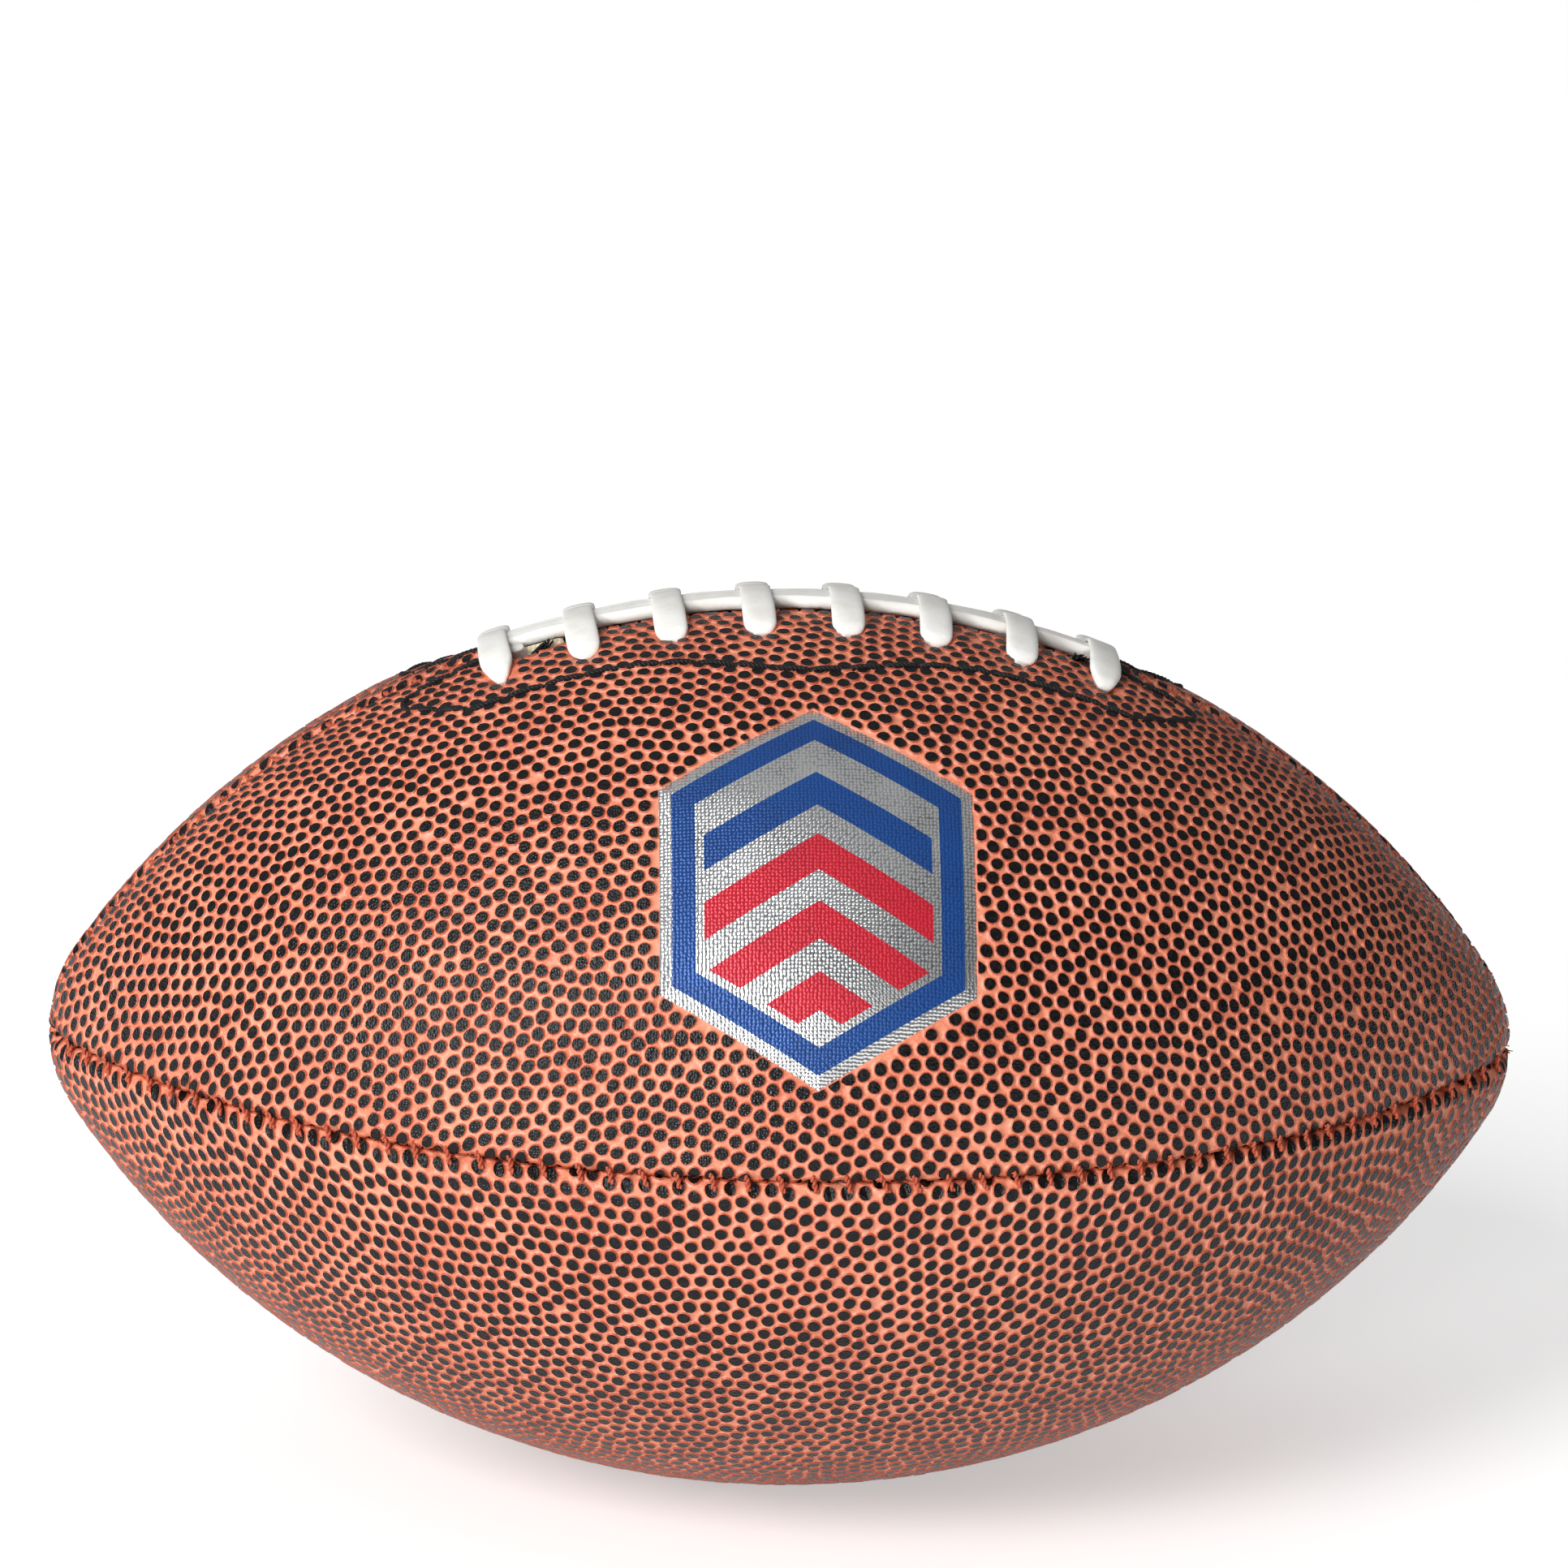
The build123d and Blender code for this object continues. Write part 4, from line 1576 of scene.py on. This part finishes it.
    def strand(self) -> tuple[Array, Array]:
        """Route of the lengthwise strand, from its tail inside the left end to the corner in the right end.

        Returns:
            Places as (station, y, level), and widths.
        """
        plan = self.plan
        top = self.strand_middle
        end = float(plan.stations[-1]) - plan.bend
        over = np.linspace(QUARTER, 0, self.bend_points)
        under = np.linspace(2 * QUARTER, 3 * QUARTER, self.bend_points)
        dive = np.concatenate([
            arc((end, top - plan.bend), plan.bend, over),
            arc((end + 2 * plan.bend, plan.bend - plan.inside_depth), plan.bend, under),
        ])
        level = np.linspace(-end, end, self.strand_points)[1:-1]
        tail = dive[-1] + (self.tail, 0)
        left = np.concatenate([[tail], dive[::-1]]) * (-1, 1)
        pressed = np.exp(-((level[:, None] - plan.stations) / self.press_reach) ** 2).max(1)
        flat = np.concatenate([left, np.column_stack([level, top - self.press * pressed]), dive])
        narrow = ease((flat[:, 0] - float(plan.stations[-2]) + self.narrow_lead) / self.narrow_run)
        width = plan.tape_width * (1 - narrow) + self.narrow_width * narrow
        wave = self.width_wave * np.sin(flat[:, 0] * self.wave_rate)
        width = width * (1 + wave * self.on_surface(flat[:, 1]))
        return np.column_stack([flat[:, 0], np.zeros(len(flat)), flat[:, 1]]), width

    def build(self, vinyl: Material) -> Item:
        """Make the lace.

        Args:
            vinyl: Finish of the tape.

        Returns:
            The lace as one tube.
        """
        strand, strand_width = self.strand()
        winding, winding_width, shown = self.winding()
        turn = np.linspace(0, QUARTER, self.bend_points)
        sine, cosine, none = np.sin(turn), np.cos(turn), np.zeros(len(turn))
        reach = self.plan.tape_width / 2 + self.corner_gap
        corner = strand[-1] + (self.corner_gap, 0, 0) + reach * np.column_stack([sine, 1 - cosine, none])
        route = np.concatenate([strand, corner, winding])
        width = np.concatenate([strand_width, np.full(len(turn), self.inside_width), winding_width])
        across = np.concatenate([np.tile((0, 1, 0), (len(strand), 1)), np.column_stack([-sine, cosine, none]),
                                 np.tile((-1, 0, 0), (len(winding), 1))])
        path = self.plan.place(*route.T)
        tip = self.plan.place(*(route + across * self.probe).T)
        wide, thick = sweep_frames(path, tip - path)
        ribs = np.zeros(len(route))
        ribs[:len(strand)] = self.on_surface(strand[:, 2])
        show = np.concatenate([np.zeros(len(strand) + len(turn)), shown])
        thinned = show * ease(1 - np.abs(route[:, 1]) / self.thin_reach)
        depth = self.plan.tape_thickness - (self.plan.tape_thickness - self.crown_thickness) * thinned
        depth = depth + (self.strand_thickness - self.plan.tape_thickness) * ribs
        angle = np.linspace(0, TURN, self.around, endpoint=False)
        power = 2 / self.roundness
        side, face = (np.sign(part) * np.abs(part) ** power for part in (np.cos(angle), np.sin(angle)))
        wave = np.cos(side * self.rib_waves * math.pi) * face
        off = side[None, :] * width[:, None] / 2
        rise = face[None, :] * depth[:, None] / 2 + wave[None, :] * ribs[:, None] * self.rib_depth
        rings = path[:, None] + wide[:, None] * off[..., None] + thick[:, None] * rise[..., None]
        return ring_object("lace_tape", rings, vinyl)


@dataclass
class FacingStitch:
    """Black lockstitch round one lace facing, with the loose ends that stick out by the slit."""

    side: Side
    plan: LacingPlan
    tip_reach: float = 12.5
    tip_side: float = 3.15
    shoulder_reach: float = 2.4
    shoulder_side: float = 5.0
    bulge_rise: float = 3.9
    bulge_reach: float = 13.0
    belly_points: int = 41
    pitch: float = 4.2
    radius: float = 0.39
    seat: float = 0.3
    dip: float = 0.2
    crest_power: float = 0.4
    lay: float = 1.5
    stitch_points: int = 19
    loose_points: int = 9
    loose_radius: Span = (0.18, 0.1)
    tuft_count: int = 5
    tuft_start: Triple = (3.9, -2.8, -1.0)
    tuft_step: float = 0.4
    tuft_low: Triple = (0.8, -0.7, 0.9)
    tuft_high: Triple = (2.4, -0.2, 1.3)
    tuft_bow: Triple = (0.5, -0.2, 0.4)
    bow_spread: float = 0.3
    lip_thread: tuple[Triple, ...] = ((-8.0, -2.7, -0.5), (-5.0, -2.9, -0.1), (-2.2, -3.0, 0.0))
    brush_count: int = 22
    brush_back: Span = (2.2, 3.4)
    brush_seat: Span = (-2.7, -0.1)
    brush_low: Triple = (-0.6, -2.4, 0.2)
    brush_high: Triple = (0.9, -0.9, 0.9)

    def outline(self) -> Array:
        """Plan of the stitch line from one slit end round to the other, with eased corners.

        Returns:
            Places as (x, y), with y away from the slit.
        """
        plan = self.plan
        root = float(plan.place(np.array([plan.slit_end]), np.zeros(1), np.zeros(1))[0, 0])
        tip = np.array([root + self.tip_reach, plan.slit_half + self.tip_side])
        shoulder = np.array([root + self.shoulder_reach, plan.leg_offset + self.shoulder_side])
        x = np.linspace(shoulder[0], -shoulder[0], self.belly_points)
        belly = np.column_stack([x, shoulder[1] + self.bulge_rise * np.exp(-(x / self.bulge_reach) ** 2)])
        right = np.array([[root, plan.slit_half], tip])
        return eased_line(np.concatenate([right, belly, (right * (-1, 1))[::-1]]))

    def over_skin(self, line: Array, lift: Array) -> Array:
        """Points at heights over the skin above a line in plan.

        Args:
            line: Places as (x, y), with y away from the slit.
            lift: Heights over the skin.

        Returns:
            Points in millimetres, one row each.
        """
        ball = self.plan.ball
        station = ball.station_at(line[:, 0])
        _, radius, _ = ball.meridian(station)
        swell = (radius + lift - self.plan.dent(station, self.side.value * line[:, 1])) / radius
        up = np.sqrt(radius ** 2 - line[:, 1] ** 2)
        return np.column_stack([line[:, 0], self.side.value * line[:, 1] * swell, ball.axis + up * swell])

    def build(self, thread: Material, rng: Draws) -> Item:
        """Make the row of stitches and its loose ends.

        Args:
            thread: Finish of the thread.
            rng: Seeded source of the loose ends' curl.

        Returns:
            The stitches as one piece.
        """
        line = self.outline()
        run = run_along(line)
        spinner = ThreadSpinner()
        count = int(run[-1] / self.pitch)
        step = run[-1] / count
        share = np.linspace(0, 1, self.stitch_points)
        lift = -self.dip + (self.dip + self.seat) * np.sin(math.pi * share) ** self.crest_power
        for number in range(count):
            at = (number + share) * step
            plan = np.column_stack([np.interp(at, run, column) for column in line.T])
            spinner.add_twisted(self.over_skin(plan, lift), self.radius, self.lay)
        if self.side is Side.FRONT:
            for path in self.loose_ends(rng):
                spinner.add(cord_rings(path, np.linspace(*self.loose_radius, len(path))))
        return spinner.item(f"{self.side.word}_facing_thread", thread)

    def loose_ends(self, rng: Draws) -> list[Array]:
        """Curled thread ends by the first and the last cross bar.

        Args:
            rng: Seeded source of their sweep.

        Returns:
            Paths in millimetres.
        """
        share = np.linspace(0, 1, self.loose_points)[:, None]
        first, last = self.plan.stations[[0, -1]]
        ends = []
        for number in range(self.tuft_count):
            start = np.array(self.tuft_start) + (first, 0, 0) + (self.tuft_step * number, 0, 0)
            sweep = rng.uniform(self.tuft_low, self.tuft_high)
            bow = np.array(self.tuft_bow) * rng.normal(1, self.bow_spread)
            ends.append(start + sweep * share + bow * np.sin(math.pi * share))
        ends.append(eased_line(np.array(self.lip_thread) + (last, 0, 0)))
        for _ in range(self.brush_count):
            start = np.array([last - rng.uniform(*self.brush_back), *self.brush_seat])
            ends.append(start + rng.uniform(self.brush_low, self.brush_high) * share)
        return [self.plan.place(*path.T) for path in ends]


@dataclass
class SeamStitch:
    """Slanting stitches that lace two rolled panel edges together along one seam."""

    seam: Seam
    ball: BallForm
    plan: LacingPlan
    pitch: float = 3.75
    radius: float = 0.34
    lay: float = 1.7
    plies: int = 2
    stitch_points: int = 13
    span: float = 1.15
    span_spread: float = 0.06
    sag: float = 0.2
    slant: float = 0.4
    slant_spread: float = 0.3
    drift: float = 0.1
    lip_off: float = 0.68
    lip_reach: float = 0.25
    lip_rise: float = 0.36
    dive_off: float = 0.85
    dive_run: float = 0.25
    dive_depth: float = 0.3
    slit_gap: float = 1.5
    end_radius: float = 6.0
    fray_count: int = 7
    fray_points: int = 8
    fray_radius: Span = (0.13, 0.05)
    fray_back: float = 1.2
    fray_y: float = -1.4
    fray_sweep: Triple = (1.5, -0.6, -0.5)
    fray_spread: float = 0.22
    fray_bow: float = 0.15

    def place(self, s: Array, off: Array, depth: Array) -> Array:
        """Points in the groove.

        Args:
            s: Stations along the seam.
            off: Distances from the seam plane.
            depth: Distances below the skin.

        Returns:
            Points in millimetres, one row each.
        """
        x, radius, lean = self.ball.meridian(s)
        out = np.array([0.0, *self.seam.value])
        sideways = np.array([0.0, -self.seam.value[1], self.seam.value[0]])
        normal = out * np.cos(lean)[:, None] + np.array([1.0, 0, 0]) * np.sin(lean)[:, None]
        middle = out * radius[:, None]
        middle[:, 0] += x
        middle[:, 2] += self.ball.axis
        return middle - normal * depth[:, None] + sideways * off[:, None]

    def build(self, thread: Material, rng: Draws) -> Item:
        """Make the seam's stitches.

        Args:
            thread: Finish of the thread.
            rng: Seeded source of their uneven slant.

        Returns:
            The stitches as one piece.
        """
        spinner = ThreadSpinner()
        count = int(self.ball.end_station(self.end_radius) / self.pitch)
        reach = (np.linspace(0, 1, self.stitch_points) - 0.5) * 2
        for station in np.arange(-count, count + 1) * self.pitch:
            if self.seam is Seam.TOP and abs(station) < self.plan.slit_end + self.slit_gap:
                continue
            lean = self.slant * rng.normal(1, self.slant_spread)
            off = reach * self.span * rng.normal(1, self.span_spread)
            s = station + reach * lean + rng.normal(0, self.drift)
            over_lip = np.exp(-((np.abs(off) - self.lip_off) / self.lip_reach) ** 2)
            dive = np.clip((np.abs(off) - self.dive_off) / self.dive_run, 0, None)
            depth = self.sag - self.lip_rise * over_lip + self.dive_depth * dive
            spinner.add_twisted(self.place(s, off, depth), self.radius, self.lay, self.plies)
        if self.seam is Seam.FRONT:
            for path in self.tip_fray(rng):
                spinner.add(cord_rings(path, np.linspace(*self.fray_radius, len(path))))
        return spinner.item(f"{self.seam.word}_seam_stitches", thread)

    def tip_fray(self, rng: Draws) -> list[Array]:
        """Frayed thread ends where the front seam runs out at the right tip.

        Args:
            rng: Seeded source of their sweep.

        Returns:
            Paths in millimetres.
        """
        share = np.linspace(0, 1, self.fray_points)[:, None]
        start = np.array([self.ball.length / 2 - self.fray_back, self.fray_y, self.ball.axis])
        paths = []
        for _ in range(self.fray_count):
            sweep = np.array(self.fray_sweep) + rng.normal(0, self.fray_spread, 3)
            bow = rng.normal(0, self.fray_bow, 3)
            paths.append(start + sweep * share + bow * np.sin(math.pi * share))
        return paths


@dataclass
class LaceFacing:
    """Canvas leaf behind one edge of the slit; its raw edge stands up into it by the first cross bars."""

    stitch: FacingStitch
    depth: float = 2.75
    thickness: float = 0.6
    margin: float = 2.0
    raw_edge: float = 0.6
    raw_stations: tuple[float, ...] = (2.6, 3.6, 8.0, 9.4)
    raw_shares: tuple[float, ...] = (0, 1, 1, 0)
    points_along: int = 161
    points_across: int = 18
    flat: Span = (17.6, 99.2)
    flat_area: float = 1290.0

    def build(self, canvas: Material) -> Item:
        """Make the leaf as a closed sheet.

        Args:
            canvas: Finish of the sheet.

        Returns:
            The facing.
        """
        line = self.stitch.outline()
        right, left = int(line[:, 0].argmax()), int(line[:, 0].argmin())
        along = np.linspace(line[left, 0], line[right, 0], self.points_along)
        inner = np.interp(np.abs(along), *line[:right + 1].T)
        outer = np.interp(along, *line[right:left + 1][::-1].T) + self.margin
        beside = np.array(self.raw_stations) + float(self.stitch.plan.stations[0])
        shown = ease(np.interp(along, beside, self.raw_shares))
        raised = self.depth * shown * (self.stitch.side is Side.FRONT)
        rings = []
        for x, near, far, rise in zip(along, inner, outer, raised):
            away = (far - near) * np.linspace(0, 1, self.points_across) ** 2
            plan = np.column_stack([np.full(len(away), x), near + away])
            lift = rise * ease(1 - away / self.raw_edge) - self.depth
            top = self.stitch.over_skin(plan, lift)
            low = self.stitch.over_skin(plan, lift - self.thickness)
            rings.append(np.concatenate([top, low[::-1]]))
        return ring_object(f"{self.stitch.side.word}_canvas_facing", rings, canvas)


@dataclass
class Bladder:
    """Rubber bladder blown up inside the casing, with the line where its mould closed."""

    ball: BallForm
    depth: float = 7.4
    mould_line: float = 0.2
    mould_spread: float = 0.03
    end_radius: float = 0.6
    points_along: int = 121
    points_around: int = 120

    def build(self, rubber: Material) -> Item:
        """Make the bladder.

        Args:
            rubber: Its finish.

        Returns:
            The bladder as one closed form.
        """
        inside = BallForm(self.ball.length - 2 * self.depth, self.ball.diameter - 2 * self.depth,
                          self.ball.nose_radius - self.depth)
        end = inside.end_station(self.end_radius)
        x, radius, _ = inside.meridian(np.linspace(-end, end, self.points_along))
        around = np.linspace(0, TURN, self.points_around, endpoint=False)
        swell = radius[:, None] + self.mould_line * np.exp(-(np.sin(around) / self.mould_spread) ** 2)
        rings = np.stack([np.repeat(x[:, None], len(around), 1), swell * np.cos(around),
                          swell * np.sin(around) + self.ball.axis], -1)
        return ring_object("rubber_bladder", rings, rubber)


@dataclass
class TongueStrip:
    """Canvas tongue under the slit, rippled where the lace presses on it."""

    plan: LacingPlan
    half_width: float = 12.0
    half_length: float = 37.0
    thickness: float = 0.6
    ripple: float = 0.12
    ripple_fade: float = 0.26
    points_along: int = 75
    points_across: int = 25
    flat: Span = (24.4, 69.4)

    def build(self, canvas: Material) -> Item:
        """Make the tongue as a closed strip.

        Args:
            canvas: Finish of the strip.

        Returns:
            The tongue.
        """
        across = np.linspace(-self.half_width, self.half_width, self.points_across)
        sag = self.plan.form_level(across) - self.plan.tongue_depth
        rings = []
        for station in np.linspace(-self.half_length, self.half_length, self.points_along):
            along = np.full(len(across), station)
            wave = self.ripple * np.sin(station * TURN / self.plan.pitch) * np.cos(across * self.ripple_fade)
            top = self.plan.place(along, across, sag + wave)
            low = self.plan.place(along, across, sag + wave - self.thickness)
            rings.append(np.concatenate([top, low[::-1]]))
        return ring_object("canvas_tongue", rings, canvas)


@dataclass(frozen=True)
class Softbox:
    """One large soft lamp, aimed at the ball from the left."""

    name: str
    power: float
    azimuth: float
    elevation: float
    distance: float
    size: float

    def hang(self, aim: Vector) -> None:
        """Put the lamp into the scene.

        Args:
            aim: Point that it faces, in metres.
        """
        azimuth, elevation = math.radians(self.azimuth), math.radians(self.elevation)
        away = Vector((-math.sin(azimuth) * math.cos(elevation), -math.cos(azimuth) * math.cos(elevation),
                       math.sin(elevation)))
        data = bpy.data.lights.new(self.name, "AREA")
        data.energy = self.power
        data.shape = "SQUARE"
        data.size = self.size * MM
        item = bpy.data.objects.new(self.name, data)
        item.location = aim + away * self.distance * MM
        item.rotation_mode = "QUATERNION"
        item.rotation_quaternion = (-away).to_track_quat("-Z", "Y")
        bpy.context.scene.collection.objects.link(item)


@dataclass
class Studio:
    """White paper floor, a main and a low softbox at the left, soft light all round, and the camera."""

    ball: BallForm
    distance: float = 800.0
    elevation: float = 18.44
    roll: float = -2.09
    yaw: float = 4.48
    lens: float = 157.4
    sensor: float = 36.0
    pitch_up: float = 2.086
    main_box: Softbox = Softbox("main_softbox", 222.0, 43.0, 34.0, 6000.0, 2700.0)
    low_box: Softbox = Softbox("low_softbox", 62.0, 31.0, 6.0, 3500.0, 520.0)
    left_glow: float = 0.25
    right_glow: float = 0.02
    top_glow: float = 0.31
    floor_size: float = 8.0

    def camera(self) -> None:
        """Place the camera where the photograph was taken from."""
        e, yaw, roll = (math.radians(angle) for angle in (self.elevation, self.yaw, self.roll))
        right = Vector((math.cos(yaw), -math.sin(yaw), 0))
        up = Vector((math.sin(e) * math.sin(yaw), math.sin(e) * math.cos(yaw), math.cos(e)))
        back = Vector((-math.cos(e) * math.sin(yaw), -math.cos(e) * math.cos(yaw), math.sin(e)))
        across = right * math.cos(roll) - up * math.sin(roll)
        upright = right * math.sin(roll) + up * math.cos(roll)
        turn = Matrix((across, upright, back)).transposed()
        pitched = turn @ Matrix.Rotation(math.radians(self.pitch_up), 3, "X")
        centre = Vector((0, 0, self.ball.axis * MM))
        data = bpy.data.cameras.new("photo_camera")
        data.lens = self.lens
        data.sensor_width = self.sensor
        item = bpy.data.objects.new("photo_camera", data)
        item.matrix_world = Matrix.Translation(centre + back * self.distance * MM) @ pitched.to_4x4()
        bpy.context.scene.collection.objects.link(item)
        bpy.context.scene.camera = item

    def floor(self) -> None:
        """Lay the paper."""
        half = self.floor_size / 2 / MM
        corners = np.array([(-half, -half, 0), (half, -half, 0), (half, half, 0), (-half, half, 0)])
        item = mesh_object("paper_floor", corners, [[0, 1, 2, 3]], [StudioPaper().material()])

    def light(self) -> None:
        """Hang the softboxes and set the surroundings."""
        for softbox in (self.main_box, self.low_box):
            softbox.hang(Vector((0, 0, self.ball.axis * MM)))
        world = bpy.data.worlds.new("white_room")
        world.use_nodes = True
        tree = world.node_tree
        tree.nodes.clear()
        way = add_node(tree, "TexCoord", {}, "Generated")
        sideways = add_node(tree, "SeparateXYZ", {0: way}, "X")
        side = add_node(tree, "MapRange", {0: sideways, 1: -1.0, 2: 1.0, 3: self.left_glow,
                                           4: self.right_glow})
        above = add_node(tree, "Math", {0: sideways.node.outputs["Z"], 1: 0.0}, operation="MAXIMUM")
        strength = add_node(tree, "Math", {0: above, 1: self.top_glow, 2: side}, operation="MULTIPLY_ADD")
        glow = add_node(tree, "Background", {"Color": linear(WHITE), "Strength": strength})
        add_node(tree, "OutputWorld", {"Surface": glow})
        bpy.context.scene.world = world
        bpy.context.scene.view_settings.view_transform = "Standard"


@dataclass
class Football:
    """The whole ball: cover, lacing, stitching and what is inside."""

    ball: BallForm
    plan: LacingPlan
    valve_angle: float = 48.0
    facing_seed: int = 60
    seam_seed: int = 70

    def dress_cover(self) -> None:
        """Make the four panels."""
        finishes = [
            PebbledHide().material(),
            PebbleInk().material(),
            # Each foil's second colour is the darker one, used in the weave and in the patches of painted
            # reflection.
            PressedFoil("silver_foil", "#E6E7E8", "#7B7D81", roughness=(0.14, 0.26)).material(),
            PressedFoil("blue_foil_ink", "#12468C", "#0B2E63", roughness=(0.28, 0.4),
                        metallic=0.25).material(),
            PressedFoil("red_foil_ink", "#C2192F", "#941024", roughness=(0.3, 0.42),
                        metallic=0.15).material(),
            Canvas("cotton_lining", "#D9CFB4", "#B9AC8C").material(),
            # Pebble walls: a darker red, painted shade round every pebble.
            PebbledHide("pebble_flank_hide", "#BE5837", "#A2442A").material(),
        ]
        panels = [
            CoverPanel(Side.FRONT, Level.UPPER, 11, self.ball, self.plan, plaque=Plaque()),
            CoverPanel(Side.FRONT, Level.LOWER, 23, self.ball, self.plan),
            CoverPanel(Side.REAR, Level.UPPER, 37, self.ball, self.plan, valve_angle=self.valve_angle),
            CoverPanel(Side.REAR, Level.LOWER, 41, self.ball, self.plan),
        ]
        for panel in panels:
            lining_node = panel.name.replace("_panel", "_lining")
            settle(panel.build(finishes), "cover", panel.name, lining_node)

    def dress_lacing(self) -> None:
        """Make the lace, the tongue and the stitch rows beside them."""
        settle(Lacing(self.plan).build(LaceVinyl().material()), "lace", "lace")
        canvas = Canvas("cotton_canvas", "#EADFC6", "#C6B998").material()
        strip = TongueStrip(self.plan)
        tongue = strip.build(canvas)
        settle(tongue, "tongue", "tongue")
        black = SewingThread("black_polyester_thread", "#090809", "#171517").material()
        for side in Side:
            rng = np.random.default_rng(self.facing_seed + side.value)
            stitch = FacingStitch(side, self.plan)
            settle(stitch.build(black, rng), "stitch", f"{side.word}_facing_stitch")
            leaf = LaceFacing(stitch)
            facing = leaf.build(canvas)
            settle(facing, "facing", f"{side.word}_lace_facing")
            f"{side.word}_upper_panel_pebbled"

    def dress_seams(self) -> None:
        """Sew the four seams."""
        rust = SewingThread("rust_polyester_thread", "#A0432B", "#D2684A").material()
        for number, seam in enumerate(Seam):
            rng = np.random.default_rng(self.seam_seed + number)
            stitches = SeamStitch(seam, self.ball, self.plan).build(rust, rng)
            settle(stitches, "seam_thread", f"{seam.word}_seam_thread")

    def dress_inside(self) -> None:
        """Make the bladder, and give the carried-over CAD pieces their finishes."""
        rubber = MouldedRubber().material()
        settle(Bladder(self.ball).build(rubber), "bladder", "bladder")
        finishes = {"valve_housing": rubber,
                    "valve_plug": MouldedRubber("valve_rubber", "#343231", "#4A4643").material()}
        for node, finish in finishes.items():
            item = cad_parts[node]
            item.data.materials.clear()
            item.data.materials.append(finish)
            log.info("%s keeps its CAD shape, in %s", node, finish.name)


def main() -> None:
    """Build the ball and its studio in order."""
    logging.basicConfig(level=logging.INFO, format="%(name)s: %(message)s")
    ball = BallForm()
    plan = LacingPlan(ball)
    football = Football(ball, plan)
    football.dress_inside()
    football.dress_cover()
    football.dress_lacing()
    football.dress_seams()
    studio = Studio(ball)
    studio.camera()
    studio.floor()
    studio.light()


if __name__ == "__main__":
    main()
